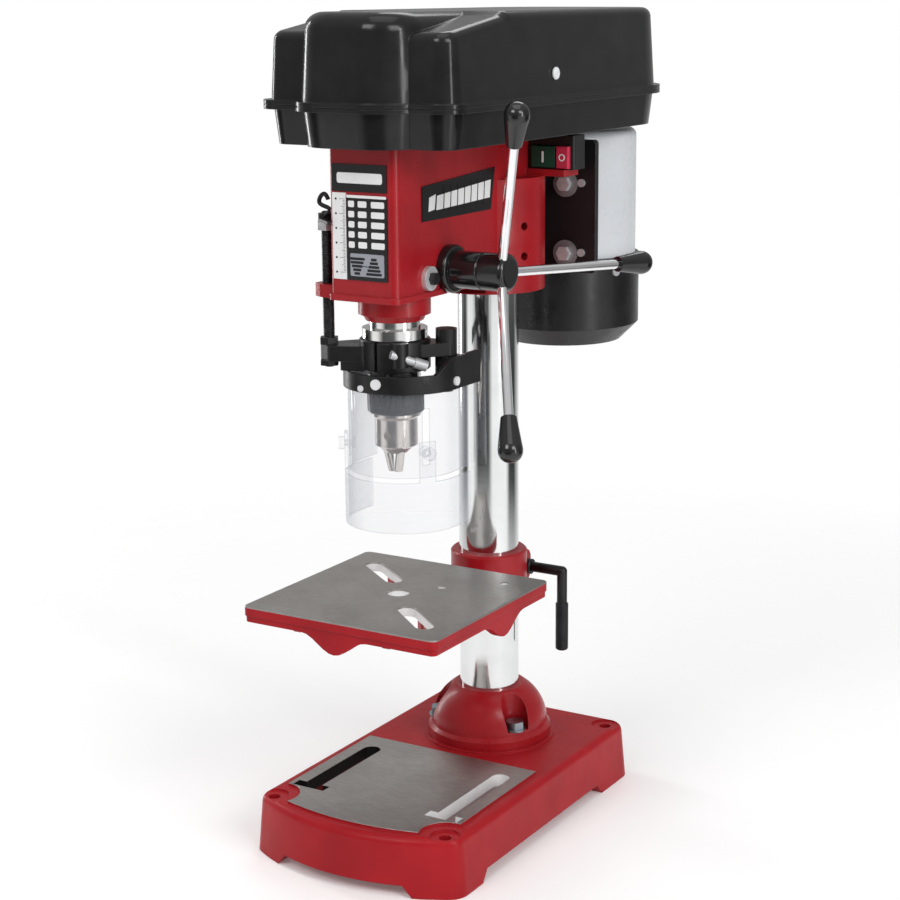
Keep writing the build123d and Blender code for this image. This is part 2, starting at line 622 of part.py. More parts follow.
with BuildPart() as guard_bracket:
    post(0, SPINDLE_Y, CLAMP_Z, CLAMP_TOP, 25)
    chamfer(guard_bracket.edges().filter_by(GeomType.CIRCLE), 0.8)
    # arm to the depth rod
    with BuildSketch(Plane.XY.offset(ARM_Z)):
        with BuildLine():
            Polyline((-10, -88), (-34, -98), (-45, -92), (-46, -84), (-22, -56), (-10, -88))
        make_face()
        fillet(vertices(), 3)
    extrude(amount=11)
    # rib under the arm's root
    with BuildSketch(Plane.XY.offset(CLAMP_Z)):
        with BuildLine():
            Polyline((-10, -88), (-27, -94), (-32, -84), (-34, -70), (-22, -56), (-10, -88))
        make_face()
        fillet(vertices(), 2)
    extrude(amount=ARM_Z - CLAMP_Z + 1)
    # web and boss that carry the guard's upright pivot pin
    with BuildSketch(Plane.XY.offset(HOLDER_TOP + GAP)):
        with BuildLine():
            Polyline((8, -43), (14, -80), (40, -54), (37, -42), (8, -43))
        make_face()
        fillet(vertices(), 3)
    extrude(amount=9)
    post(PIVOT_X, PIVOT_Y, HOLDER_TOP + GAP, PIVOT_TOP, 7.5)
    # lug that the clamp screw goes through
    post(16, -84, 362, CLAMP_TOP, 6)
    post(0, SPINDLE_Y, 340, 400, QUILL_R, Mode.SUBTRACT)
    # the front is split, so that the clamp can close
    block(-1.2, 1.2, -95, -75, 350, 390, Mode.SUBTRACT)
    with Locations(clamp_screw_place()):
        Cylinder(3, 60, mode=Mode.SUBTRACT)
        with Locations((0, 0, 4.4)):
            Cylinder(4.2, 20, align=BOTTOM, mode=Mode.SUBTRACT)
    post(DEPTH_ROD_X, DEPTH_ROD_Y, 360, 380, 3.8, Mode.SUBTRACT)
    post(PIVOT_X, PIVOT_Y, HOLDER_Z - 1, HOLDER_TOP + 2, PIVOT_R)
    post(PIVOT_X, PIVOT_Y, HOLDER_Z - 2.8, HOLDER_Z - GAP, 4.5)
save(guard_bracket, "guard_bracket")

with BuildPart() as clamp_screw:
    with Locations(clamp_screw_place()):
        Cylinder(2.95, 27)
        with Locations((0, 0, 4.5)):
            Cylinder(3.8, 9.2, align=BOTTOM)
save(clamp_screw, "clamp_screw")

ROD_TOP = 468.0
NUT_Z = 455.0

with BuildPart() as depth_rod:
    post(DEPTH_ROD_X, DEPTH_ROD_Y, ARM_Z - 5, ROD_TOP, 3.75)
    chamfer(depth_rod.edges().filter_by(GeomType.CIRCLE), 0.8)
    # nuts that hold the rod in the clamp's arm
    hexagon(Plane((DEPTH_ROD_X, DEPTH_ROD_Y, ARM_Z - 4)), 12, 4)
    hexagon(Plane((DEPTH_ROD_X, DEPTH_ROD_Y, 375)), 12, 5)
save(depth_rod, "depth_rod")

with BuildPart() as depth_nuts:
    hexagon(Plane((DEPTH_ROD_X, DEPTH_ROD_Y, NUT_Z)), 12, 6)
    post(DEPTH_ROD_X, DEPTH_ROD_Y, NUT_Z + 6.2, NUT_Z + 11.5, 6)
    # pointer that reaches round to the depth scale, with a finger hook above it
    with BuildSketch(Plane.XY.offset(NUT_Z + 6.2)):
        with BuildLine():
            Polyline((-42, -95), (-25, -109), (-23, -107), (-30.5, -101), (-35, -94), (-42, -95))
        make_face()
    extrude(amount=2)
    with BuildLine() as hook_path:
        Spline((-37, -95, 465), (-33, -95, 470.5), (-41, -95, 474.5), (-38, -95, 480), (-33.5, -95, 476.5))
    with BuildSketch(Plane(origin=hook_path.line @ 0, z_dir=hook_path.line % 0)):
        Circle(1.5)
    sweep(path=hook_path.line)
    post(DEPTH_ROD_X, DEPTH_ROD_Y, 440, 490, 3.75 + RUN, Mode.SUBTRACT)
save(depth_nuts, "depth_nuts")

# ---------------------------------------------------------------- chuck guard
HOLDER_R = 43.0
HOLDER_WALL = 3.0
HOLDER_REAR = -20.0
GUARD_Y = -54.0
SHELL_R = HOLDER_R - HOLDER_WALL
SHELL_Z = 284.0
SHELL_TOP = 354.0
LOWER_Z = 245.0
LOWER_TOP = 281.0
GUARD_SCREW_ANGLES = (-145, -35)


def guard_plan(radius, wall, rear):
    """A U-shaped wall: round in front and straight at the sides, open at the rear."""
    with BuildSketch() as plan:
        with Locations((0, GUARD_Y)):
            Circle(radius)
        with Locations((0, (GUARD_Y + rear) / 2)):
            Rectangle(2 * radius, rear - GUARD_Y)
        with Locations((0, GUARD_Y)):
            Circle(radius - wall, mode=Mode.SUBTRACT)
        with Locations((0, (GUARD_Y + rear + 30) / 2)):
            Rectangle(2 * (radius - wall), rear + 30 - GUARD_Y, mode=Mode.SUBTRACT)
    return plan.sketch


RIVETS = ((-84, 351, 3.7), (-101, 347, 2.2), (0, 350, 3.2))     # angle in plan, height and head radius

with BuildPart() as guard_holder:
    extrude(guard_plan(HOLDER_R, HOLDER_WALL, HOLDER_REAR).moved(Location((0, 0, HOLDER_Z))), amount=23)
    # only the right rear stands full height, so the rest clears the depth rod's arm as the guard swings
    prism_x([(-100, 356.5), (-72, 356.5), (-58, HOLDER_TOP + 1), (-100, HOLDER_TOP + 1)], 0, 50, Mode.SUBTRACT)
    block(-50, 0, -100, 0, 356.5, HOLDER_TOP + 1, Mode.SUBTRACT)
    # lug round the pivot pin
    post(PIVOT_X, PIVOT_Y, HOLDER_Z, HOLDER_TOP, 8)
    block(PIVOT_X, HOLDER_R - 1, PIVOT_Y - 8, PIVOT_Y + 8, HOLDER_Z, HOLDER_TOP)
    post(PIVOT_X, PIVOT_Y, HOLDER_Z - 1, HOLDER_TOP + 1, PIVOT_R + RUN, Mode.SUBTRACT)
    for angle, z, r in RIVETS:
        with Locations(radial(0, GUARD_Y, z, angle)):
            Cylinder(r * 0.5, HOLDER_R + 9, align=BOTTOM, mode=Mode.SUBTRACT)
save(guard_holder, "guard_holder")

with BuildPart() as guard_screws:
    for angle, z, r in RIVETS:
        with Locations(radial(0, GUARD_Y, z, angle)):
            with Locations((0, 0, HOLDER_R)):
                Cylinder(r, 1.6, align=BOTTOM)
            with Locations((0, 0, HOLDER_R - 6)):
                Cylinder(r * 0.5, 6, align=BOTTOM)
save(guard_screws, "guard_screws")

with BuildPart() as guard_upper:
    extrude(guard_plan(SHELL_R - 0.1, 2, -32).moved(Location((0, 0, SHELL_Z))), amount=SHELL_TOP - SHELL_Z)
    block(20, 50, PIVOT_Y - 9, PIVOT_Y + 30, HOLDER_Z - GAP, SHELL_TOP + 1, Mode.SUBTRACT)
    for angle, z, r in RIVETS:
        with Locations(radial(0, GUARD_Y, z, angle)):
            Cylinder(r * 0.5, HOLDER_R + 9, align=BOTTOM, mode=Mode.SUBTRACT)
    # vertical slots that the lower sleeve's screws slide in
    for angle in GUARD_SCREW_ANGLES:
        with Locations(Location((0, GUARD_Y, 293), (0, 0, angle))):
            with Locations((SHELL_R, 0, 0)):
                Box(12, 5.4, 40, align=BOTTOM, mode=Mode.SUBTRACT)
save(guard_upper, "guard_upper")

with BuildPart() as strap_blanks:
    for angle in GUARD_SCREW_ANGLES:
        with Locations(Location((0, GUARD_Y, LOWER_TOP - 1), (0, 0, angle))):
            with Locations((HOLDER_R - 2, 0, 0)):
                Box(14, 12, 30, align=BOTTOM)

with BuildPart() as straps:
    extrude(guard_plan(HOLDER_R, 2.4, -34).moved(Location((0, 0, LOWER_TOP - 1))), amount=30)
    add(strap_blanks.part, mode=Mode.INTERSECT)

with BuildPart() as guard_lower:
    extrude(guard_plan(HOLDER_R, 2.4, -34).moved(Location((0, 0, LOWER_Z))), amount=LOWER_TOP - LOWER_Z)
    # two straps reach up to the adjusting screws
    add(straps.part)
    for angle in GUARD_SCREW_ANGLES:
        with Locations(radial(0, GUARD_Y, 302, angle)):
            Cylinder(2.1, 60, align=BOTTOM, mode=Mode.SUBTRACT)
save(guard_lower, "guard_lower")

with BuildPart() as sleeve_screws:
    for angle in GUARD_SCREW_ANGLES:
        with Locations(radial(0, GUARD_Y, 302, angle)):
            with Locations((0, 0, SHELL_R - 5)):
                Cylinder(2, 9.5, align=BOTTOM)
                Cylinder(4, 2.4, align=BOTTOM)
            with Locations((0, 0, HOLDER_R + 0.1)):
                Cylinder(4.6, 4, align=BOTTOM)
save(sleeve_screws, "sleeve_screws")

# ---------------------------------------------------------------- table and its bracket
BRACKET_R = 29.5
BRACKET_Z = 150.0
BRACKET_TOP = 194.0
TILT_FACE_Y = 18.0
TABLE_REAR = SPINDLE_Y + TABLE_SIZE / 2
TABLE_FRONT = SPINDLE_Y - TABLE_SIZE / 2
TABLE_SKIN = 7.0
SKIRT_Z = 180.5
LEVER_Y = 99.5
LEVER_Z = 172.0

with BuildPart() as table_bracket:
    post(0, COLUMN_Y, BRACKET_Z, BRACKET_TOP, BRACKET_R)
    chamfer(table_bracket.edges().filter_by(GeomType.CIRCLE), 1.5)
    rod_y(0, TILT_FACE_Y + GAP, COLUMN_Y - 10, TILT_Z, 21)
    block(-13, 13, COLUMN_Y + 15, LEVER_Y + 9, LEVER_Z - 13, LEVER_Z + 13)
    fillet(table_bracket.edges().filter_by(Axis.X).group_by(Axis.Y)[-1], 8)
    post(0, COLUMN_Y, 100, 240, COLUMN_R + RUN, Mode.SUBTRACT)
    block(-1.5, 1.5, COLUMN_Y, 120, 100, 240, Mode.SUBTRACT)
    rod_x(-20, 20, LEVER_Y, LEVER_Z, 4 + RUN, Mode.SUBTRACT)
    rod_y(0, 0, COLUMN_Y - COLUMN_R - 1, TILT_Z, 5, Mode.SUBTRACT)
save(table_bracket, "table_bracket")

with BuildPart() as tilt_bolt:
    rod_y(0, 2, COLUMN_Y - COLUMN_R - 1, TILT_Z, 4.95)
    rod_y(0, 5.4, 7.4, TILT_Z, 10.5)
    hexagon(Plane((0, 5.4, TILT_Z), x_dir=(1, 0, 0), z_dir=(0, -1, 0)), 17, 6.5)
save(tilt_bolt, "tilt_bolt")

with BuildPart() as table_lever:
    rod_x(-18, 46, LEVER_Y, LEVER_Z, 4)
    rod_x(13.5, 19, LEVER_Y, LEVER_Z, 6)
    with Locations((46, LEVER_Y, LEVER_Z)):
        Sphere(4)
    post(46, LEVER_Y, LEVER_Z - 58, LEVER_Z, 4)
    post(46, LEVER_Y, LEVER_Z - 64, LEVER_Z - 26, 5)
    fillet(table_lever.edges().filter_by(GeomType.CIRCLE).sort_by(Axis.Z)[0], 2)
    # square nut at the far side
    block(-20, -13.5, LEVER_Y - 6, LEVER_Y + 6, LEVER_Z - 6, LEVER_Z + 6)
save(table_lever, "table_lever")


def skirt_side(length, hump_at, deep_end):
    """The lower edge of the table's skirt along one side, as (distance, z) points with one hump."""
    low = 167.8
    points = [(-length / 2, SKIRT_Z)]
    for step in range(-6, 7):
        share = step / 6
        rise = (1 - cos(pi * (1 - abs(share)))) / 2
        points.append((hump_at + 27 * share, SKIRT_Z - (SKIRT_Z - low) * rise))
    points.append((length / 2, deep_end))
    return points


with BuildPart() as skirt:
    with BuildSketch(Plane.XY.offset(160)):
        with Locations((0, SPINDLE_Y)):
            RectangleRounded(TABLE_SIZE - 2, TABLE_SIZE - 2, 4)
            RectangleRounded(TABLE_SIZE - 15, TABLE_SIZE - 15, 3, mode=Mode.SUBTRACT)
    extrude(amount=TABLE_TOP - TABLE_SKIN - 160 + 0.5)
    front = skirt_side(TABLE_SIZE, -3, SKIRT_Z)
    prism_y([(-90, 150), (90, 150), (90, SKIRT_Z), *front[::-1], (-90, SKIRT_Z)],
            TABLE_FRONT - 5, TABLE_FRONT + 10, Mode.SUBTRACT)
    prism_y([(-90, 150), (90, 150), (90, SKIRT_Z), (-90, SKIRT_Z)],
            TABLE_REAR - 10, TABLE_REAR + 5, Mode.SUBTRACT)
    side = [(SPINDLE_Y + d, z) for d, z in skirt_side(TABLE_SIZE - 18, 16, SKIRT_Z)]
    prism_x([(TABLE_FRONT + 9, 150), (TABLE_REAR - 9, 150), *side[::-1]], -85, 85, Mode.SUBTRACT)

with BuildPart() as table:
    with BuildSketch(Plane.XY.offset(TABLE_TOP - TABLE_SKIN)):
        with Locations((0, SPINDLE_Y)):
            RectangleRounded(TABLE_SIZE, TABLE_SIZE, 5)
    extrude(amount=TABLE_SKIN)
    chamfer(table.faces().sort_by(Axis.Z)[-1].edges(), 0.6)
    # the skirt: a rim wall with a wavy lower edge
    add(skirt.part)
    # ribs and the tilt lug under the plate
    block(-40, -34, TABLE_FRONT + 6, TABLE_REAR - 6, 178, TABLE_TOP - 2)
    block(34, 40, TABLE_FRONT + 6, TABLE_REAR - 6, 178, TABLE_TOP - 2)
    block(-74, 74, SPINDLE_Y - 43, SPINDLE_Y - 37, 178, TABLE_TOP - 2)
    block(-74, 74, SPINDLE_Y + 43, SPINDLE_Y + 49, 178, TABLE_TOP - 2)
    rod_y(0, 7.4, TILT_FACE_Y, TILT_Z, 21)
    block(-21, 21, 7.4, TABLE_REAR - 1, TILT_Z, TABLE_TOP - 2)
    rod_y(0, 0, 30, TILT_Z, 5, Mode.SUBTRACT)
    # through holes: the middle hole and two diagonal slots
    post(0, SPINDLE_Y, 150, 200, 8, Mode.SUBTRACT)
    for start, angle, reach in (((-15, -44), 142.9, 56), ((21, -91), -39.7, 53)):
        with BuildSketch(Plane.XY.offset(150)):
            with Locations(Location((*start, 0), (0, 0, angle))):
                with Locations((reach / 2, 0)):
                    SlotOverall(reach, 13)
        extrude(amount=60, mode=Mode.SUBTRACT)
    # two shallow round dimples on the other diagonal
    for x, y in ((20, -38), (55, -7)):
        post(x, y, TABLE_TOP - 1.2, 200, 3.6, Mode.SUBTRACT)
save(table, "table")

# ---------------------------------------------------------------- pulleys and belt
BELT_W = 9.0
BELT_T = 6.0
EDGE = 2.0           # how far a step's rim stands out from its pitch radius


def pulley_profile(radii, bore):
    """A stepped V-pulley as (radius, z) points, from the lowest step up."""
    slope = tan(radians(19))
    points = [(bore, PULLEY_Z), (radii[0] + EDGE, PULLEY_Z)]
    for index, radius in enumerate(radii):
        middle = PULLEY_Z + (index + 0.5) * STEP_H
        edge = radius + EDGE
        deep = radius - 5
        half_out = BELT_W / 2 + 0.35
        half_in = half_out - (edge - deep) * slope
        points += [(edge, middle - half_out), (deep, middle - half_in), (deep, middle + half_in),
                   (edge, middle + half_out)]
        points.append((edge, middle + STEP_H / 2))
        if index + 1 < len(radii):
            points.append((radii[index + 1] + EDGE, middle + STEP_H / 2))
    points.append((bore, PULLEY_Z + len(radii) * STEP_H))
    return points


with BuildPart() as spindle_pulley:
    turned(pulley_profile(STEP_R, 3), 0, SPINDLE_Y)
    post(0, SPINDLE_Y, 489, PULLEY_Z + 1, 10)
    post(0, SPINDLE_Y, 499.5, 502.5, 12)
    post(0, SPINDLE_Y, 480, 600, SPLINE_ROOT_R + 0.2, Mode.SUBTRACT)
    for index in range(SPLINE_TEETH):
        with Locations(Location((0, SPINDLE_Y, 480), (0, 0, 360 / SPLINE_TEETH * index))):
            Box(2 * SPLINE_TIP_R + 0.5, 2.8, 120, align=BOTTOM, mode=Mode.SUBTRACT)
    # a dished top
    turned([(14, 590), (32, 590), (30, 582), (16, 582)], 0, SPINDLE_Y, Mode.SUBTRACT)
save(spindle_pulley, "spindle_pulley")

with BuildPart() as motor_pulley:
    turned(pulley_profile(STEP_R[::-1], 3), 0, MOTOR_Y)
    post(0, MOTOR_Y, 480, 600, 7, Mode.SUBTRACT)
    turned([(12, 520), (32, 520), (30, 530), (14, 530)], 0, MOTOR_Y, Mode.SUBTRACT)
save(motor_pulley, "motor_pulley")

def belt_section():
    """The belt's V section as (radius, z) points."""
    slope = tan(radians(19))
    inner = BELT_R - 3.6
    outer = inner + BELT_T
    half_out = BELT_W / 2 + (outer - BELT_R - EDGE) * slope
    half_in = half_out - BELT_T * slope
    return [(inner, BELT_Z - half_in), (outer, BELT_Z - half_out), (outer, BELT_Z + half_out),
            (inner, BELT_Z + half_in)]


with BuildPart() as belt_far_end:
    turned(belt_section(), 0, MOTOR_Y)
    block(-60, 60, MOTOR_Y - 60, MOTOR_Y, BELT_Z - 9, BELT_Z + 9, Mode.SUBTRACT)

with BuildPart() as drive_belt:
    turned(belt_section(), 0, SPINDLE_Y)
    block(-60, 60, SPINDLE_Y, SPINDLE_Y + 60, BELT_Z - 9, BELT_Z + 9, Mode.SUBTRACT)
    add(belt_far_end.part)
    prism_y(belt_section(), SPINDLE_Y, MOTOR_Y)
    prism_y([(-r, z) for r, z in reversed(belt_section())], SPINDLE_Y, MOTOR_Y)
save(drive_belt, "drive_belt")

# ---------------------------------------------------------------- motor
CAN_R = 58.0
CAN_Z = 411.0
CAN_TOP = 510.0
CAP_R = 61.0
CAP_Z = 342.0
SHAFT_R = 7.0
PLATE_Y = MOTOR_Y - CAP_R - 5.6
PLATE_HALF = 63.0
PLATE_BOLTS = ((-38, 419.5), (-38, 472.5), (38, 419.5), (38, 472.5))

with BuildPart() as motor_can:
    post(0, MOTOR_Y, CAN_Z, CAN_TOP, CAN_R)
    fillet(motor_can.faces().sort_by(Axis.Z)[-1].edges(), 6)
    for x, z in PLATE_BOLTS:
        rod_y(x, PLATE_Y + 5, MOTOR_Y - 30, z, 8)
    post(0, MOTOR_Y, CAN_Z - 1, CAN_TOP - 3, CAN_R - 2.5, Mode.SUBTRACT)
    post(0, MOTOR_Y, 500, 520, SHAFT_R + 4, Mode.SUBTRACT)
    for x, z in PLATE_BOLTS:
        rod_y(x, PLATE_Y, PLATE_Y + 18, z, 3.1, Mode.SUBTRACT)
save(motor_can, "motor_can")

with BuildPart() as motor_cap:
    post(0, MOTOR_Y, CAP_Z, CAN_Z, CAP_R)
    chamfer(motor_cap.faces().sort_by(Axis.Z)[0].edges(), 14)
    post(0, MOTOR_Y, CAP_Z + 16, CAN_Z + 1, CAP_R - 3, Mode.SUBTRACT)
    post(0, MOTOR_Y, CAP_Z + 3, CAN_Z, CAP_R - 18, Mode.SUBTRACT)
    # screw holes, and cooling slots in the underside
    for index in range(4):
        with Locations(radial(0, MOTOR_Y, 401, 90 * index - 20)):
            Cylinder(2, CAP_R + 2, align=BOTTOM, mode=Mode.SUBTRACT)
    for index in range(12):
        with Locations(Location((0, MOTOR_Y, CAP_Z - 1), (0, 0, 30 * index))):
            with Locations((28, 0, 0)):
                Box(20, 4, 6, align=BOTTOM, mode=Mode.SUBTRACT)
save(motor_cap, "motor_cap")

with BuildPart() as motor_plate:
    block(-PLATE_HALF, PLATE_HALF, PLATE_Y, PLATE_Y + 5, 405, 506)
    fillet(motor_plate.edges().filter_by(Axis.Y), 3)
    for x, z in PLATE_BOLTS:
        rod_y(x, PLATE_Y - 1, PLATE_Y + 6, z, 3.2, Mode.SUBTRACT)
save(motor_plate, "motor_plate")

with BuildPart() as plate_bolts:
    for x, z in PLATE_BOLTS:
        rod_y(x, PLATE_Y - 2, PLATE_Y, z, 10)
        rod_y(x, PLATE_Y - 1, PLATE_Y + 16, z, 3)
        hexagon(Plane((x, PLATE_Y - 2, z), x_dir=(1, 0, 0), z_dir=(0, -1, 0)), 10, 4)
save(plate_bolts, "plate_bolts")

with BuildPart() as motor_screws:
    for x, z in PLATE_BOLTS:
        away = 13.5 if x > 0 else -13.5
        rod_y(x + away, PLATE_Y - 2, PLATE_Y, z + 1, 3)
    for index in range(4):
        with Locations(radial(0, MOTOR_Y, 401, 90 * index - 20)):
            with Locations((0, 0, CAP_R - 3.5)):
                Cylinder(2, 4, align=BOTTOM)
            with Locations((0, 0, CAP_R)):
                Cylinder(3.6, 2, align=BOTTOM)
save(motor_screws, "motor_screws")

with BuildPart() as slide_rods:
    for x in (-ROD_X, ROD_X):
        rod_y(x, 24, PLATE_Y, ROD_Z, SLIDE_ROD_R)
save(slide_rods, "slide_rods")

with BuildPart() as motor_stator:
    post(0, MOTOR_Y, 420, 484, CAN_R - 2.5)
    post(0, MOTOR_Y, 400, 500, 30, Mode.SUBTRACT)
    for index in range(4):
        with Locations(Location((0, MOTOR_Y, 410), (0, 0, 90 * index + 45))):
            with Locations((CAN_R + 2, 0, 0)):
                Box(12, 24, 90, align=BOTTOM, mode=Mode.SUBTRACT)
save(motor_stator, "motor_stator")

with BuildPart() as motor_bearings:
    bearing(0, MOTOR_Y, 497, CAN_TOP - 3, SHAFT_R + RUN, 17.5)
    bearing(0, MOTOR_Y, CAP_Z + 3, CAP_Z + 13, SHAFT_R + RUN, 17.5)
save(motor_bearings, "motor_bearings")

with BuildPart() as rotor:
    post(0, MOTOR_Y, CAP_Z + 4, PULLEY_Z + 5 * STEP_H + 1, SHAFT_R)
    post(0, MOTOR_Y, 420, 484, 29.6)
    # cooling fan
    post(0, MOTOR_Y, 366, 378, 12)
    for index in range(8):
        with Locations(Location((0, MOTOR_Y, 366), (0, 0, 45 * index))):
            with Locations((24, 0, 0)):
                Box(28, 2, 12, align=BOTTOM)
save(rotor, "rotor")

with BuildPart() as tension_knob:
    rod_x(-60, -ROD_X - SLIDE_ROD_R - 0.2, 80, ROD_Z, 4)
    rod_x(-66, -44, 80, ROD_Z, 11)
    for index in range(8):
        with Locations(Location((-67, 80, ROD_Z), (45 * index, 0, 0))):
            with Locations((0, 12.2, 0)):
                Cylinder(2.4, 24, rotation=(0, 90, 0), align=BOTTOM, mode=Mode.SUBTRACT)
save(tension_knob, "tension_knob")

# ---------------------------------------------------------------- pulley pan and lid
COVER_WALL = 2.5
NOSE_HALF = 47.0
NOSE_FRONT = -129.0
HINGE_YS = (0.0, 150.0)
LID_SCREW_AT = (32.5, 559.0)     # along Y and Z


def cover_plan(inset, nose=True):
    """The cover's plan: a long box with a round-cornered rear and a nose round the spindle pulley."""
    half = COVER_HALF - inset
    front = COVER_FRONT + inset
    rear = COVER_REAR - inset
    with BuildSketch() as plan:
        with Locations((0, (front + rear) / 2)):
            Rectangle(2 * half, rear - front)
        fillet(vertices().group_by(Axis.Y)[-1], 50 - inset)
        fillet(vertices().group_by(Axis.Y)[0], 15 - inset * 0.5)
        if nose:
            add(nose_plan(inset))
    return plan.sketch


def nose_plan(inset):
    """The nose's plan, a round-fronted tongue over the spindle pulley."""
    half = NOSE_HALF - inset
    front = NOSE_FRONT + inset
    with BuildSketch() as plan:
        with Locations((0, (front + 40) / 2)):
            Rectangle(2 * half, 40 - front)
        fillet(vertices().group_by(Axis.Y)[0], 34 - inset)
    return plan.sketch


with BuildPart() as pan_hollow:
    extrude(cover_plan(4 + COVER_WALL).moved(Location((0, 0, PAN_Z + COVER_WALL))), amount=30, taper=-7)

with BuildPart() as cover_pan:
    extrude(cover_plan(4).moved(Location((0, 0, PAN_Z))), amount=RIM_Z - PAN_Z, taper=-7)
    add(pan_hollow.part, mode=Mode.SUBTRACT)
    extrude(cover_plan(-4.5).moved(Location((0, 0, RIM_Z - 3))), amount=3)
    extrude(cover_plan(COVER_WALL + 0.5).moved(Location((0, 0, RIM_Z - 4))), amount=5, mode=Mode.SUBTRACT)
    # openings for the spindle pulley and for the motor pulley's travel
    post(0, SPINDLE_Y, PAN_Z - 1, PAN_Z + 5, 22, Mode.SUBTRACT)
    with BuildSketch(Plane.XY.offset(PAN_Z - 1)):
        with Locations(Location((0, MOTOR_Y - 6, 0), (0, 0, 90))):
            SlotOverall(66, 48)
    extrude(amount=5, mode=Mode.SUBTRACT)
    for x, y in ((-20, -96), (20, -96), (-20, 88), (20, 88)):
        post(x, y, PAN_Z - 1, PAN_Z + 5, 2.3, Mode.SUBTRACT)
    # hinge knuckles along the left rim
    for y in HINGE_YS:
        for offset in (-18, 8):
            rod_y(HINGE_X, y + offset, y + offset + 10, RIM_Z, 4)
            block(HINGE_X, -COVER_HALF - 3, y + offset, y + offset + 10, RIM_Z - 3, RIM_Z - 0.5)
        rod_y(HINGE_X, y - 20, y + 20, RIM_Z, 2, Mode.SUBTRACT)
save(cover_pan, "cover_pan")

with BuildPart() as pan_screws:
    for x, y in ((-20, -96), (20, -96), (-20, 88), (20, 88)):
        post(x, y, HEAD_TOP - 10, PAN_Z + COVER_WALL + 1, 2)
        post(x, y, PAN_Z + COVER_WALL, PAN_Z + COVER_WALL + 2.5, 4.5)
save(pan_screws, "pan_screws")

with BuildPart() as hinge_pins:
    for y in HINGE_YS:
        rod_y(HINGE_X, y - 19, y + 19, RIM_Z, 2)
save(hinge_pins, "hinge_pins")


def lid_solid(inset, top):
    """The lid's body as one closed solid, drawn in towards the top and lower at its front corners."""
    with BuildPart() as shape:
        base_z = RIM_Z + GAP
        extrude(cover_plan(inset, nose=False).moved(Location((0, 0, base_z))), amount=top - base_z, taper=3.5)
        slope = [(-200, top - 17), (-110, top - 14), (-36, top - 3), (-20, top + 3), (-20, 700), (-200, 700)]
        prism_x(slope, -120, 120, Mode.SUBTRACT)
        roof = shape.edges().filter_by(lambda e: e.center().Z > top - 22)
        fillet(roof, 7)
    with BuildPart() as nose:
        extrude(nose_plan(inset).moved(Location((0, 0, base_z))), amount=top - base_z, taper=3.5)
        fillet(nose.edges().filter_by(lambda e: e.center().Z > top - 1 and e.center().Y < 30), 13)
    return shape.part, nose.part


lid_outside = lid_solid(0, LID_TOP)
lid_hollow = lid_solid(COVER_WALL, LID_TOP - COVER_WALL)

with BuildPart() as cover_lid:
    for solid in lid_outside:
        add(solid)
    extrude(cover_plan(-4.5).moved(Location((0, 0, RIM_Z + GAP))), amount=3)
    for solid in lid_hollow:
        add(solid, mode=Mode.SUBTRACT)
    extrude(cover_plan(COVER_WALL).moved(Location((0, 0, RIM_Z))), amount=6, mode=Mode.SUBTRACT)
    for y in HINGE_YS:
        rod_y(HINGE_X, y - 7.5, y + 7.5, RIM_Z, 4)
        block(HINGE_X, -COVER_HALF - 2, y - 7.5, y + 7.5, RIM_Z + 0.5, RIM_Z + 3)
        rod_y(HINGE_X, y - 20, y + 20, RIM_Z, 2 + RUN, Mode.SUBTRACT)
    rod_x(60, 90, *LID_SCREW_AT, 2.2, Mode.SUBTRACT)
save(cover_lid, "cover_lid")

with BuildPart() as lid_screw:
    rod_x(62, 74.5, *LID_SCREW_AT, 2.1)
    rod_x(74.3, 76.6, *LID_SCREW_AT, 4.5)
save(lid_screw, "lid_screw")
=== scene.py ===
import math

import bmesh
import bpy
from mathutils import Matrix, Vector


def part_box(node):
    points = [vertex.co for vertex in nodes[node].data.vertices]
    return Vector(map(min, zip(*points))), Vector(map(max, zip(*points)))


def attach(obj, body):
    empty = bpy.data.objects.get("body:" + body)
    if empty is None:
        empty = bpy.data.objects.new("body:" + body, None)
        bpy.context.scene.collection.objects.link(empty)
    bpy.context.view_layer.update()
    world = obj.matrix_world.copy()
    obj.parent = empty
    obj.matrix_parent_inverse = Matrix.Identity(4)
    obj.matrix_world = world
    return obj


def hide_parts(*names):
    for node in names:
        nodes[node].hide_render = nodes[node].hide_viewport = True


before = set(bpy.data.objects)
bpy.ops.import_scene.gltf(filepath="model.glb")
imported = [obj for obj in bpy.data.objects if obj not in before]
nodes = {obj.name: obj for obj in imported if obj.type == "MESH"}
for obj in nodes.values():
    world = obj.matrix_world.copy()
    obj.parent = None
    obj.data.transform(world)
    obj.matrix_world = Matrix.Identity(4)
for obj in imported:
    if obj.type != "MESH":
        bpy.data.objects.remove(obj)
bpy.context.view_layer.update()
MM = 0.001
PROUD = 0.00001          # how far an added mark stands off the face under it


# ---------------------------------------------------------------- shader nodes
def new_material(name):
    """A node material: itself, its node tree, its shader and its texture coordinates."""
    m = bpy.data.materials.new(name)
    m.use_nodes = True
    tree = m.node_tree
    shader = tree.nodes["Principled BSDF"]
    where = tree.nodes.new("ShaderNodeTexCoord")
    return m, tree, shader, where


def scaled(tree, where, stretch, turn=0.0):
    """Object coordinates, turned about Z and stretched along each axis."""
    mapping = tree.nodes.new("ShaderNodeMapping")
    mapping.inputs["Rotation"].default_value = (0, 0, turn)
    mapping.inputs["Scale"].default_value = stretch
    tree.links.new(where.outputs["Object"], mapping.inputs["Vector"])
    return mapping.outputs["Vector"]


def noise(tree, vector, scale, detail=4.0, rough=0.55):
    node = tree.nodes.new("ShaderNodeTexNoise")
    node.inputs["Scale"].default_value = scale
    node.inputs["Detail"].default_value = detail
    node.inputs["Roughness"].default_value = rough
    tree.links.new(vector, node.inputs["Vector"])
    return node.outputs["Fac"]


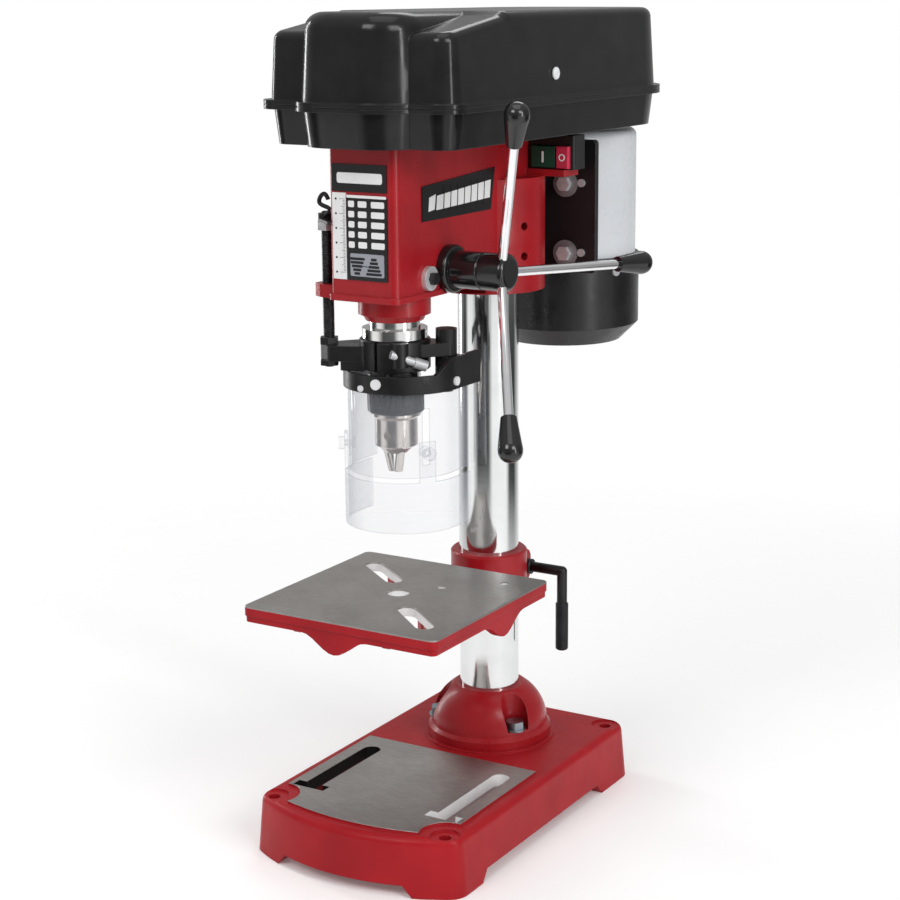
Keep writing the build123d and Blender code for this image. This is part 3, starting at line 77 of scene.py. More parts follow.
def spread(tree, value, low, high, from_low=0.3, from_high=0.7):
    """A value moved from one range into another, and held inside it."""
    node = tree.nodes.new("ShaderNodeMapRange")
    node.inputs["From Min"].default_value = from_low
    node.inputs["From Max"].default_value = from_high
    node.inputs["To Min"].default_value = low
    node.inputs["To Max"].default_value = high
    tree.links.new(value, node.inputs["Value"])
    return node.outputs["Result"]


def blend_colours(tree, factor, a, b):
    """One colour turning into another as the factor goes from 0 to 1."""
    node = tree.nodes.new("ShaderNodeMix")
    node.data_type = "RGBA"
    tree.links.new(factor, node.inputs["Factor"])
    for socket, value in ((node.inputs[6], a), (node.inputs[7], b)):
        if isinstance(value, tuple):
            socket.default_value = (*value, 1)
        else:
            tree.links.new(value, socket)
    return node.outputs[2]


def blend_values(tree, factor, a, b):
    """One linked value turning into another as the factor goes from 0 to 1."""
    node = tree.nodes.new("ShaderNodeMix")
    tree.links.new(factor, node.inputs["Factor"])
    tree.links.new(a, node.inputs["A"])
    tree.links.new(b, node.inputs["B"])
    return node.outputs["Result"]


def drift(tree, value, a, b):
    """A slow change between two colours, driven by noise."""
    return blend_colours(tree, spread(tree, value, 0, 1), a, b)


def darker(colour, share):
    return tuple(v * share for v in colour)


def bump(tree, height, distance, strength=1.0, base=None):
    node = tree.nodes.new("ShaderNodeBump")
    node.inputs["Distance"].default_value = distance
    node.inputs["Strength"].default_value = strength
    tree.links.new(height, node.inputs["Height"])
    if base is not None:
        tree.links.new(base, node.inputs["Normal"])
    return node.outputs["Normal"]


def rounded(tree, radius):
    """Normals that soften hard edges, as a casting's or a moulding's own small radius does."""
    node = tree.nodes.new("ShaderNodeBevel")
    node.samples = 4
    node.inputs["Radius"].default_value = radius
    return node.outputs["Normal"]


def times(tree, a, b):
    node = tree.nodes.new("ShaderNodeMath")
    node.operation = "MULTIPLY"
    tree.links.new(a, node.inputs[0])
    tree.links.new(b, node.inputs[1])
    return node.outputs["Value"]


def edge_wear_and_highlight(tree, vector, soft, most):
    """Nothing on flat faces, rising to the most in broken patches along edges; the colour laid there is partly
    wear and partly a painted highlight.
    """
    geometry = tree.nodes.new("ShaderNodeNewGeometry")
    turn = tree.nodes.new("ShaderNodeVectorMath")
    turn.operation = "DOT_PRODUCT"
    tree.links.new(soft, turn.inputs[0])
    tree.links.new(geometry.outputs["Normal"], turn.inputs[1])
    edge = spread(tree, turn.outputs["Value"], most, 0.0, 0.8, 0.985)
    patches = spread(tree, noise(tree, vector, 160, 4), 0.25, 1.0, 0.42, 0.6)
    return times(tree, edge, patches)


def above(tree, where, axis, limit, sign=1):
    """1 where a coordinate passes a limit, upwards or downwards by the sign, and 0 elsewhere."""
    split = tree.nodes.new("ShaderNodeSeparateXYZ")
    tree.links.new(where.outputs["Object"], split.inputs["Vector"])
    node = tree.nodes.new("ShaderNodeMath")
    node.operation = "GREATER_THAN" if sign > 0 else "LESS_THAN"
    node.inputs[1].default_value = limit
    tree.links.new(split.outputs[axis], node.inputs[0])
    return node.outputs["Value"]


def inside(tree, where, bounds):
    """1 inside every (axis, limit, sign) bound, 0 elsewhere."""
    mask = None
    for axis, limit, sign in bounds:
        test = above(tree, where, axis, limit, sign)
        mask = test if mask is None else times(tree, mask, test)
    return mask


# ---------------------------------------------------------------- kinds of material
def paint(name, light, dark, worn_and_highlight, rough=0.3, coat=0.1, grain=0.00006, grain_scale=420, edge=0.0009):
    """Enamel over a casting or pressing: colour drift, orange peel, dustier patches and another colour along
    the edges, partly wear and partly a painted highlight.
    """
    m, tree, shader, where = new_material(name)
    vector = where.outputs["Object"]
    soft = rounded(tree, edge)
    shade = drift(tree, noise(tree, vector, 22, 3), light, dark)
    # edges take another colour: partly wear, partly a painted highlight
    shade = blend_colours(tree, edge_wear_and_highlight(tree, vector, soft, 0.55), shade, worn_and_highlight)
    tree.links.new(shade, shader.inputs["Base Color"])
    patch = noise(tree, vector, 60, 5)
    tree.links.new(spread(tree, patch, rough * 0.85, rough * 1.25), shader.inputs["Roughness"])
    shader.inputs["Coat Weight"].default_value = coat
    shader.inputs["Coat Roughness"].default_value = 0.12
    shader.inputs["Specular IOR Level"].default_value = 0.3
    fine = noise(tree, vector, grain_scale, 3)
    tree.links.new(bump(tree, fine, grain, 0.6, soft), shader.inputs["Normal"])
    return m


def metal(name, light, dark, low, high, stretch=(1, 1, 1), lines=900, depth=0.00002, edge=0.0003, worn_and_highlight=None,
          metallic=1.0):
    """Worked metal: tool lines along one direction, changes in brightness and, if asked, a lighter colour of
    wear along the edges.
    """
    m, tree, shader, where = new_material(name)
    shader.inputs["Metallic"].default_value = metallic
    soft = rounded(tree, edge)
    tool = noise(tree, scaled(tree, where, stretch), lines, 2)
    shade = drift(tree, noise(tree, where.outputs["Object"], 35, 4), light, dark)
    if worn_and_highlight:
        shade = blend_colours(tree, edge_wear_and_highlight(tree, where.outputs["Object"], soft, 0.7), shade, worn_and_highlight)
    tree.links.new(shade, shader.inputs["Base Color"])
    tree.links.new(spread(tree, tool, low, high), shader.inputs["Roughness"])
    tree.links.new(bump(tree, tool, depth, 0.5, soft), shader.inputs["Normal"])
    return m


def plastic(name, light, dark, low, high, grain=0.00004, grain_scale=1400, edge=0.0005, gloss=0.4, worn_and_highlight=None):
    """Moulded plastic: fine grain, slightly uneven gloss and, if asked, lighter edges, partly wear and partly a
    painted highlight.
    """
    m, tree, shader, where = new_material(name)
    vector = where.outputs["Object"]
    soft = rounded(tree, edge)
    shade = drift(tree, noise(tree, vector, 40, 3), light, dark)
    if worn_and_highlight:
        # lighter edges: partly wear, partly a painted highlight
        shade = blend_colours(tree, edge_wear_and_highlight(tree, vector, soft, 0.5), shade, worn_and_highlight)
    tree.links.new(shade, shader.inputs["Base Color"])
    tree.links.new(spread(tree, noise(tree, vector, 75, 5), low, high), shader.inputs["Roughness"])
    shader.inputs["Specular IOR Level"].default_value = gloss
    fine = noise(tree, vector, grain_scale, 2)
    tree.links.new(bump(tree, fine, grain, 0.5, soft), shader.inputs["Normal"])
    return m


def painted_with_machined_top(name, top, walls):
    """Red enamel with a bare ground top and lighter edges, partly wear and partly a painted highlight; each
    slot's walls get a painted colour of their own, painted shade where dark and painted light where pale.
    """
    m, tree, shader, where = new_material(name)
    vector = where.outputs["Object"]
    soft = rounded(tree, 0.0009)
    red_shade = drift(tree, noise(tree, vector, 22, 3), RED_LIGHT, RED_DARK)
    lines = noise(tree, scaled(tree, where, (1, 14, 1), math.radians(8)), 120, 6, 0.7)
    cloud = noise(tree, vector, 30, 5)
    bare = blend_colours(tree, spread(tree, lines, 0, 1, 0.25, 0.75), IRON_LIGHT, IRON_DARK)
    bare = blend_colours(tree, spread(tree, cloud, 0, 0.55), bare, IRON_CLOUD)
    mask = inside(tree, where, top)
    shade = blend_colours(tree, mask, red_shade, bare)
    # lighter red and grey along edges: partly wear, partly a painted highlight
    rubbed_and_highlight = blend_colours(tree, mask, RED_EDGE_WEAR_AND_HIGHLIGHT, IRON_WORN)
    shade = blend_colours(tree, edge_wear_and_highlight(tree, vector, soft, 0.6), shade, rubbed_and_highlight)
    # each slot's walls are painted one colour of their own: painted shade in the dark slot, painted light in
    # the pale ones
    for bounds, colour in walls:
        zone = inside(tree, where, bounds)
        wall = blend_colours(tree, spread(tree, cloud, 0, 0.5), colour, darker(colour, 0.7))
        shade = blend_colours(tree, zone, shade, wall)
    tree.links.new(shade, shader.inputs["Base Color"])
    tree.links.new(mask, shader.inputs["Metallic"])
    enamel_rough = spread(tree, noise(tree, vector, 60, 5), 0.3, 0.42)
    rough = blend_values(tree, mask, enamel_rough, spread(tree, lines, 0.36, 0.5))
    tree.links.new(rough, shader.inputs["Roughness"])
    shader.inputs["Specular IOR Level"].default_value = 0.16
    height = blend_values(tree, mask, noise(tree, vector, 420, 3), lines)
    tree.links.new(bump(tree, height, 0.00005, 0.5, soft), shader.inputs["Normal"])
    return m


def belt_rubber():
    m, tree, shader, where = new_material("belt_rubber")
    fine = noise(tree, where.outputs["Object"], 1500, 3)
    tree.links.new(drift(tree, fine, (0.03, 0.03, 0.03), (0.014, 0.014, 0.014)), shader.inputs["Base Color"])
    tree.links.new(spread(tree, fine, 0.6, 0.85), shader.inputs["Roughness"])
    tree.links.new(bump(tree, fine, 0.0001), shader.inputs["Normal"])
    return m


def clear_guard(name, tint, shade):
    """Thin clear moulding: see-through where it faces the eye, denser and darker at grazing angles."""
    m, tree, shader, where = new_material(name)
    m.surface_render_method = "BLENDED"
    grazing = tree.nodes.new("ShaderNodeLayerWeight")
    grazing.inputs["Blend"].default_value = 0.3
    facing_away = grazing.outputs["Facing"]
    tree.links.new(spread(tree, facing_away, 0.09, 0.6, 0.2, 0.95), shader.inputs["Alpha"])
    faint = noise(tree, where.outputs["Object"], 30, 4)
    body = drift(tree, faint, tint, darker(tint, 0.9))
    colour = blend_colours(tree, spread(tree, facing_away, 0, 1, 0.55, 1.0), body, shade)
    tree.links.new(colour, shader.inputs["Base Color"])
    tree.links.new(spread(tree, faint, 0.03, 0.1), shader.inputs["Roughness"])
    shader.inputs["Specular IOR Level"].default_value = 0.6
    return m


def two_tone(name, axis, limit, sign, beyond, rest):
    """Plated fasteners whose washers and heads differ in shade, split at one plane."""
    m, tree, shader, where = new_material(name)
    zone = above(tree, where, axis, limit, sign)
    slow = noise(tree, where.outputs["Object"], 180, 4)
    far = drift(tree, slow, beyond, darker(beyond, 0.75))
    near = drift(tree, slow, rest, darker(rest, 0.75))
    tree.links.new(blend_colours(tree, zone, near, far), shader.inputs["Base Color"])
    shader.inputs["Metallic"].default_value = 0.6
    tree.links.new(spread(tree, slow, 0.34, 0.5), shader.inputs["Roughness"])
    tree.links.new(bump(tree, slow, 0.00001, 0.5, rounded(tree, 0.0003)), shader.inputs["Normal"])
    return m


# ---------------------------------------------------------------- the materials
RED_LIGHT = (0.40, 0.012, 0.018)
RED_DARK = (0.31, 0.008, 0.013)
# lighter red along edges: partly wear, partly a painted highlight
RED_EDGE_WEAR_AND_HIGHLIGHT = (0.56, 0.07, 0.075)
IRON_LIGHT = (0.52, 0.50, 0.48)
IRON_DARK = (0.27, 0.255, 0.24)
IRON_CLOUD = (0.27, 0.25, 0.235)
IRON_WORN = (0.66, 0.65, 0.63)
# lighter grey along the black mouldings' edges: partly wear, partly a painted highlight
BLACK_EDGE_WEAR_AND_HIGHLIGHT = (0.06, 0.06, 0.062)
# painted shade for the walls of the base's left slot; painted light, as of the bright ground seen through, for
# the walls of its right slot and of the table's slots
SLOT_PAINTED_SHADE = (0.012, 0.012, 0.012)
SLOT_PAINTED_LIGHT = (0.9, 0.9, 0.9)
TABLE_SLOT_PAINTED_LIGHT = (0.85, 0.85, 0.85)

red = paint("red_enamel", RED_LIGHT, RED_DARK, RED_EDGE_WEAR_AND_HIGHLIGHT, rough=0.3, coat=0.08)

# the walls of the base's slots, and of the table's, as (axis, limit, sign) bounds
SLOT_ENDS = (("Y", -0.1031, 1), ("Y", -0.009, -1), ("Z", 0.032, 1), ("Z", 0.04436, -1))
LEFT_SLOT = (("X", -0.0715, 1), ("X", -0.043, -1), *SLOT_ENDS)
RIGHT_SLOT = (("X", 0.043, 1), ("X", 0.0715, -1), *SLOT_ENDS)
TABLE_SLOTS = (("X", -0.066, 1), ("X", 0.066, -1), ("Y", -0.131, 1), ("Y", 0.001, -1),
               ("Z", 0.1847, 1), ("Z", 0.19095, -1))
base_finish = painted_with_machined_top(
    "base_enamel_and_pad",
    top=(("Z", 0.04435, 1), ("Y", 0.0075, -1)),
    walls=((LEFT_SLOT, SLOT_PAINTED_SHADE), (RIGHT_SLOT, SLOT_PAINTED_LIGHT)),
)
table_finish = painted_with_machined_top(
    "table_enamel_and_top",
    top=(("Z", 0.1909, 1),),
    walls=((TABLE_SLOTS, TABLE_SLOT_PAINTED_LIGHT),),
)

column_steel = metal("column_ground", (0.82, 0.83, 0.83), (0.74, 0.75, 0.75), 0.07, 0.13,
                     stretch=(1, 1, 30), lines=60, depth=0.000006)
quill_steel = metal("quill_ground", (0.82, 0.82, 0.81), (0.72, 0.72, 0.71), 0.1, 0.18,
                    stretch=(1, 1, 30), lines=80, depth=0.000006)
bright_steel = metal("turned_steel", (0.74, 0.74, 0.73), (0.62, 0.62, 0.61), 0.2, 0.32,
                     stretch=(1, 1, 20), lines=120)
chuck_steel = metal("chuck_satin", (0.78, 0.74, 0.70), (0.66, 0.62, 0.58), 0.16, 0.26,
                    stretch=(1, 1, 25), lines=120, depth=0.000005)
zinc = metal("zinc_plate", (0.62, 0.62, 0.63), (0.42, 0.43, 0.44), 0.36, 0.52,
             depth=0.000008, edge=0.0002, metallic=0.5)
blued_zinc = metal("blued_zinc", (0.36, 0.42, 0.46), (0.22, 0.27, 0.31), 0.25, 0.42)
oxide = metal("black_oxide", (0.045, 0.045, 0.047), (0.02, 0.02, 0.022), 0.3, 0.48,
              edge=0.0005, worn_and_highlight=(0.3, 0.3, 0.31))
chrome = metal("chrome_plate", (0.93, 0.93, 0.94), (0.88, 0.88, 0.9), 0.04, 0.09, lines=200, depth=0.000004)
aluminium = metal("pulley_aluminium", (0.78, 0.78, 0.79), (0.68, 0.68, 0.7), 0.24, 0.38,
                  stretch=(1, 1, 30), lines=80)
lamination = metal("laminations", (0.36, 0.33, 0.31), (0.22, 0.2, 0.19), 0.4, 0.6,
                   stretch=(1, 1, 60), lines=40, depth=0.0001)
spring_blue = metal("spring_temper", (0.22, 0.25, 0.36), (0.14, 0.16, 0.24), 0.25, 0.4)

cover_black = plastic("cover_moulding", (0.015, 0.015, 0.016), (0.009, 0.009, 0.010), 0.15, 0.22,
                      grain=0.00002, grain_scale=1100, edge=0.0009, gloss=0.3, worn_and_highlight=BLACK_EDGE_WEAR_AND_HIGHLIGHT)
black = plastic("black_moulding", (0.013, 0.013, 0.014), (0.007, 0.007, 0.008), 0.24, 0.38,
                edge=0.0008, worn_and_highlight=BLACK_EDGE_WEAR_AND_HIGHLIGHT)
knob_black = plastic("knob_phenolic", (0.010, 0.010, 0.011), (0.005, 0.005, 0.006), 0.1, 0.2,
                     grain=0.00001, grain_scale=900, edge=0.0004, gloss=0.6)
guard_black = plastic("guard_moulding", (0.014, 0.014, 0.014), (0.007, 0.007, 0.007), 0.24, 0.4,
                      grain=0.00008, grain_scale=700, edge=0.0007, worn_and_highlight=BLACK_EDGE_WEAR_AND_HIGHLIGHT)
switch_black = plastic("switch_moulding", (0.015, 0.015, 0.016), (0.008, 0.008, 0.009), 0.3, 0.45)
start_green = plastic("start_green", (0.010, 0.075, 0.045), (0.006, 0.05, 0.03), 0.2, 0.3)
stop_red = plastic("stop_red", (0.62, 0.035, 0.08), (0.5, 0.025, 0.06), 0.2, 0.3)
label_black = plastic("label_black", (0.008, 0.008, 0.009), (0.005, 0.005, 0.006), 0.18, 0.26,
                      grain=0.00001, grain_scale=900, edge=0.0001)
label_white = plastic("label_white", (0.86, 0.86, 0.86), (0.8, 0.8, 0.8), 0.25, 0.35,
                      grain=0.00001, grain_scale=900, edge=0.0001)
label_grey = plastic("chart_grey", (0.36, 0.37, 0.42), (0.30, 0.31, 0.35), 0.25, 0.35)
bright_rivet = plastic("rivet_bright", (0.86, 0.86, 0.87), (0.74, 0.74, 0.76), 0.22, 0.34)
bright_screw = plastic("lid_screw_pale", (0.85, 0.86, 0.86), (0.76, 0.77, 0.78), 0.2, 0.3)

motor_paint = paint("motor_enamel", (0.68, 0.70, 0.73), (0.64, 0.66, 0.69), (0.42, 0.42, 0.43),
                    rough=0.26, coat=0.2, grain=0.00001, grain_scale=300, edge=0.0008)
plate_paint = paint("plate_enamel", (0.014, 0.014, 0.015), (0.008, 0.008, 0.009), (0.16, 0.16, 0.165),
                    rough=0.34, coat=0.2, grain=0.00005, grain_scale=500)

plate_bolt_zinc = two_tone("plate_bolt_zinc", "Y", 0.11635, -1, (0.78, 0.78, 0.79), (0.34, 0.34, 0.35))
depth_nut_zinc = two_tone("depth_nut_zinc", "Z", 0.4612, 1, (0.02, 0.02, 0.022), (0.62, 0.62, 0.63))
lock_bolt_zinc = two_tone("lock_bolt_zinc", "X", 0.03105, 1, (0.03, 0.03, 0.032), (0.85, 0.85, 0.86))
clear = clear_guard("guard_clear", (0.66, 0.68, 0.76), (0.34, 0.36, 0.42))

finishes = {
    "base": base_finish, "table": table_finish, "column_flange": red, "head_casting": red,
    "table_bracket": red, "flange_bolts": blued_zinc, "column": column_steel, "head_set_screws": oxide,
    "quill_lock_bolt": lock_bolt_zinc, "maker_plate": label_black, "depth_scale": label_white,
    "speed_chart": label_black, "side_badge": label_black, "switch_housing": switch_black,
    "start_button": start_green, "stop_button": stop_red, "pinion_shaft": bright_steel,
    "spring_housing": black, "return_spring": spring_blue, "feed_hub": knob_black,
    "feed_spokes": chrome, "feed_knobs": knob_black, "quill": quill_steel,
    "quill_bearings": bright_steel, "pulley_bearings": bright_steel, "motor_bearings": bright_steel,
    "spindle": bright_steel, "chuck_body": chuck_steel, "chuck_sleeve": guard_black,
    "jaw_1": chuck_steel, "jaw_2": chuck_steel, "jaw_3": chuck_steel, "guard_bracket": guard_black,
    "clamp_screw": zinc, "depth_rod": oxide, "depth_nuts": depth_nut_zinc, "guard_holder": guard_black,
    "guard_screws": bright_rivet, "guard_upper": clear, "guard_lower": clear, "sleeve_screws": clear,
    "tilt_bolt": zinc, "table_lever": oxide, "spindle_pulley": aluminium, "motor_pulley": aluminium,
    "drive_belt": belt_rubber(), "motor_can": motor_paint, "motor_cap": black,
    "motor_plate": plate_paint, "plate_bolts": plate_bolt_zinc, "motor_screws": zinc,
    "slide_rods": bright_steel, "motor_stator": lamination, "rotor": bright_steel,
    "tension_knob": black, "cover_pan": cover_black, "pan_screws": zinc, "hinge_pins": bright_steel,
    "cover_lid": cover_black, "lid_screw": zinc,
}
for name, finish in finishes.items():
    slots = nodes[name].data.materials
    slots.clear()
    slots.append(finish)


# ---------------------------------------------------------------- mesh helpers
def mesh_object(name, bm, finish, body, smooth=False):
    """A finished piece from a bmesh, riding on a body."""
    bmesh.ops.recalc_face_normals(bm, faces=bm.faces)
    data = bpy.data.meshes.new(name)
    bm.to_mesh(data)
    bm.free()
    data.materials.append(finish)
    for polygon in data.polygons:
        polygon.use_smooth = smooth
    piece = bpy.data.objects.new(name, data)
    bpy.context.scene.collection.objects.link(piece)
    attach(piece, body)
    return piece


def circle(r, count):
    """Points (u, v) round a circle."""
    return [(r * math.cos(2 * math.pi * k / count), r * math.sin(2 * math.pi * k / count))
            for k in range(count)]


def bridge(bm, low, high):
    """Faces between two rings of vertices of one length."""
    count = len(low)
    for k in range(count):
        n = (k + 1) % count
        bm.faces.new((low[k], low[n], high[n], high[k]))


def slab(bm, outline, place, thick):
    """A thin raised plate from an outline of (u, v) points, standing up along the place's Z."""
    low = [bm.verts.new(place @ Vector((u, v, 0))) for u, v in outline]
    high = [bm.verts.new(place @ Vector((u, v, thick))) for u, v in outline]
    bm.faces.new(high)
    bm.faces.new(low[::-1])
    bridge(bm, low, high)


def round_rect(u0, u1, v0, v1, r, steps=4):
    points = []
    corners = ((u1 - r, v1 - r, 0), (u0 + r, v1 - r, 90), (u0 + r, v0 + r, 180), (u1 - r, v0 + r, 270))
    for cu, cv, start in corners:
        for k in range(steps + 1):
            a = math.radians(start + 90 * k / steps)
            points.append((cu + r * math.cos(a), cv + r * math.sin(a)))
    return points


def facing(origin, normal, up=(0, 0, 1)):
    """A matrix whose Z is the normal and whose Y is as near up as it can be."""
    z = Vector(normal).normalized()
    x = Vector(up).cross(z).normalized()
    y = z.cross(x)
    return Matrix.Translation(Vector(origin)) @ Matrix((x, y, z)).transposed().to_4x4()


def screw_head(bm, place, r, height, cross=0.62, deep=0.5, rings=14, steps=64):
    """A domed head with a cross recess, its reach and depth as shares of the head's size."""
    centre = bm.verts.new(place @ Vector((0, 0, height * (1 - deep))))
    rows = []
    for i in range(1, rings + 1):
        share = i / rings
        row = []
        for x, y in circle(r * share, steps):
            z = height * (0.45 + 0.55 * math.sqrt(max(0.0, 1 - share ** 3)))
            reach = max(abs(x), abs(y))
            across = min(abs(x), abs(y))
            if reach < r * cross and across < r * 0.13:
                z -= height * deep * (1 - reach / (r * cross) * 0.5)
            row.append(bm.verts.new(place @ Vector((x, y, z))))
        rows.append(row)
    foot = [bm.verts.new(place @ Vector((x, y, 0))) for x, y in circle(r, steps)]
    rows.append(foot)
    for inner, outer in zip(rows, rows[1:]):
        bridge(bm, inner, outer)
    for k in range(steps):
        bm.faces.new((centre, rows[0][k], rows[0][(k + 1) % steps]))
    bm.faces.new(foot[::-1])


# ---------------------------------------------------------------- plates on the head's front
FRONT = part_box("speed_chart")[0].y


def on_front(x, z):
    """A place on the face of the front plates, with its Y up and its Z towards the operator."""
    return facing((x, FRONT - PROUD, z), (0, -1, 0))


lo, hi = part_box("speed_chart")
CHART_ROWS = 5
CHART_COLUMNS = ((1.6, 6.4), (9.4, 16.4), (20.0, 30.6))
bm = bmesh.new()
for row in range(CHART_ROWS):
    top = hi.z - (2.6 + row * 6.9) * MM
    for a, b in CHART_COLUMNS:
        cell = round_rect(0, (b - a) * MM, -4.3 * MM, 0, 0.9 * MM)
        slab(bm, cell, on_front(lo.x + a * MM, top), 0.00018)
mesh_object("chart_cells", bm, label_white, "frame")

panel_top = hi.z - 38.2 * MM
bm = bmesh.new()
slab(bm, round_rect(0, 27.4 * MM, -15.6 * MM, 0, 1.2 * MM), on_front(lo.x + 2.6 * MM, panel_top), 0.00015)
mesh_object("chart_panel", bm, label_grey, "frame")

# two stepped pulleys and the line of a belt between them
PULLEY_STEPS = 5
bm = bmesh.new()
for middle, rising in ((8.2, True), (21.8, False)):
    for step in range(PULLEY_STEPS):
        wide = 2.2 + 1.0 * (step if rising else PULLEY_STEPS - 1 - step)
        z = panel_top - (13.6 - 2.5 * step) * MM
        outline = round_rect(-wide * MM, wide * MM, -0.85 * MM, 0.85 * MM, 0.3 * MM)
        slab(bm, outline, on_front(lo.x + middle * MM, z), 0.0003)
belt_line = [(0, -0.0002), (0.0136, -0.0002), (0.0136, 0.0002), (0, 0.0002)]
slab(bm, belt_line, on_front(lo.x + 8.2 * MM, panel_top - 8.6 * MM), 0.00036)
mesh_object("chart_pulleys", bm, label_black, "frame")

bm = bmesh.new()
heading = round_rect(0, 32.0 * MM, 0, 1.9 * MM, 0.5 * MM)
slab(bm, heading, on_front(lo.x + 0.2 * MM, hi.z - 0.6 * MM), 0.0002)
mesh_object("chart_heading", bm, label_white, "frame")

lo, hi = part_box("maker_plate")
bm = bmesh.new()
band = round_rect(0, 36.5 * MM, 0, 7.2 * MM, 1.6 * MM)
slab(bm, band, on_front(lo.x + 4.2 * MM, lo.z + 5.6 * MM), 0.0002)
mesh_object("top_label_band", bm, label_white, "frame")

# a tick every millimetre, longer at 5 and 10, with a dot at each 10
lo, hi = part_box("depth_scale")
TICKS = 51
TICK_HALF = 0.00011
bm = bmesh.new()
for k in range(TICKS):
    z = hi.z - (4.2 + k) * MM
    length = 4.6 if k % 10 == 0 else (3.2 if k % 5 == 0 else 1.7)
    tick = [(0, -TICK_HALF), (length * MM, -TICK_HALF), (length * MM, TICK_HALF), (0, TICK_HALF)]
    slab(bm, tick, on_front(hi.x - (length + 0.7) * MM, z), 0.0001)
    if k % 10 == 0:
        slab(bm, circle(0.75 * MM, 16), on_front(lo.x + 3.0 * MM, z), 0.0001)
mesh_object("scale_ticks", bm, label_black, "frame")


# ---------------------------------------------------------------- badge on the side: a plain slanted band
lo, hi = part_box("side_badge")
badge_place = facing((hi.x + PROUD, lo.y + 0.0075, lo.z), (1, 0, 0))

bm = bmesh.new()
for a, b in ((0.0, 8.0), (10.2, 83.5)):
    slab(bm, [(a * MM, 0.0062 + a * 0.02 * MM), (b * MM, 0.0070 + b * 0.02 * MM),
              ((b + 1.6) * MM, 0.0172 + b * 0.05 * MM), ((a + 1.2) * MM, 0.0158 + a * 0.05 * MM)],
         badge_place, 0.00022)
mesh_object("badge_band", bm, label_white, "frame")

bm = bmesh.new()
for k in range(7):
    a = 19.0 + 9.2 * k
    slab(bm, [(a * MM, 0.0050), ((a + 1.1) * MM, 0.0050), ((a + 2.5) * MM, 0.0225), ((a + 1.4) * MM, 0.0225)],
         badge_place, 0.0003)
mesh_object("badge_gaps", bm, label_black, "frame")


# ---------------------------------------------------------------- marks on the switch
def on_button(node):
    """A place at the middle of a button's front face."""
    lo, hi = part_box(node)
    return facing(((lo.x + hi.x) / 2, lo.y - PROUD, (lo.z + hi.z) / 2), (0, -1, 0))


bm = bmesh.new()
slab(bm, round_rect(-0.0008, 0.0008, -0.0042, 0.0042, 0.0006), on_button("start_button"), 0.0003)
mesh_object("start_mark", bm, label_white, "start_button")

# a flat ring, as four circles joined round
bm = bmesh.new()
centre = on_button("stop_button")
rings = []
for radius, z in ((0.0026, 0), (0.0026, 0.0003), (0.0018, 0.0003), (0.0018, 0)):
    rings.append([bm.verts.new(centre @ Vector((x, y, z))) for x, y in circle(radius, 32)])
for i, ring in enumerate(rings):
    bridge(bm, ring, rings[(i + 1) % len(rings)])
mesh_object("stop_mark", bm, label_white, "stop_button")


# ---------------------------------------------------------------- the lid's screw
SCREW_R = 0.0045
SCREW_HEIGHT = 0.0023
lo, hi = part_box("lid_screw")
screw_place = facing((hi.x - SCREW_HEIGHT, (lo.y + hi.y) / 2, (lo.z + hi.z) / 2), (1, 0, 0))
bm = bmesh.new()
screw_head(bm, screw_place, SCREW_R, SCREW_HEIGHT)
lid_head = mesh_object("lid_screw_head", bm, bright_screw, "lid", smooth=True)
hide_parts("lid_screw")


# ---------------------------------------------------------------- the depth rod's thread
ROD_X = -0.0385
ROD_Y = -0.090
ROD_LOW = 0.3805
THREAD_ROOT = 0.0036
THREAD_CREST = 0.0041
THREAD_PITCH = 0.00125
THREAD_STEPS = 28        # sections in one turn


def thread(x, y, z0, z1):
    """A helical ridge round an upright rod, fading out over the turn at each end."""
    bm = bmesh.new()
    count = int((z1 - z0) / THREAD_PITCH * THREAD_STEPS)
    sections = []
    for i in range(count + 1):
        a = 2 * math.pi * i / THREAD_STEPS
        z = z0 + THREAD_PITCH * i / THREAD_STEPS
        fade = min(1.0, i / THREAD_STEPS, (count - i) / THREAD_STEPS)
        tip = THREAD_ROOT + (THREAD_CREST - THREAD_ROOT) * fade
        profile = ((THREAD_ROOT, -0.42), (tip, -0.08), (tip, 0.08), (THREAD_ROOT, 0.42))
        sections.append([bm.verts.new((x + r * math.cos(a), y + r * math.sin(a), z + share * THREAD_PITCH))
                         for r, share in profile])
    for a, b in zip(sections, sections[1:]):
        bridge(bm, a, b)
    bm.faces.new(sections[0][::-1])
    bm.faces.new(sections[-1])
    return bm


lo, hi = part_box("depth_rod")
mesh_object("depth_rod_thread", thread(ROD_X, ROD_Y, ROD_LOW, hi.z - 0.001), oxide, "quill")


# ---------------------------------------------------------------- stage
FLOOR_R = 1.05
FLOOR_Z = -0.0002
FLOOR_FADES_FROM = 0.45


def white_floor():
    """A round white floor that fades out at its rim."""
    m, tree, shader, where = new_material("floor_white")
    shader.inputs["Base Color"].default_value = (0.95, 0.95, 0.95, 1)
    shader.inputs["Emission Color"].default_value = (1.0, 1.0, 1.0, 1)
    shader.inputs["Emission Strength"].default_value = 0.09
    shader.inputs["Roughness"].default_value = 0.75
    distance = tree.nodes.new("ShaderNodeVectorMath")
    distance.operation = "LENGTH"
    tree.links.new(where.outputs["Object"], distance.inputs[0])
    fade = spread(tree, distance.outputs["Value"], 1.0, 0.0, FLOOR_FADES_FROM, FLOOR_R)
    tree.links.new(fade, shader.inputs["Alpha"])
    bm = bmesh.new()
    bm.faces.new([bm.verts.new((x, y, FLOOR_Z)) for x, y in circle(FLOOR_R, 96)])
    data = bpy.data.meshes.new("floor")
    bm.to_mesh(data)
    bm.free()
    data.materials.append(m)
    floor = bpy.data.objects.new("floor", data)
    bpy.context.scene.collection.objects.link(floor)


white_floor()
bpy.context.scene.view_settings.view_transform = "Standard"

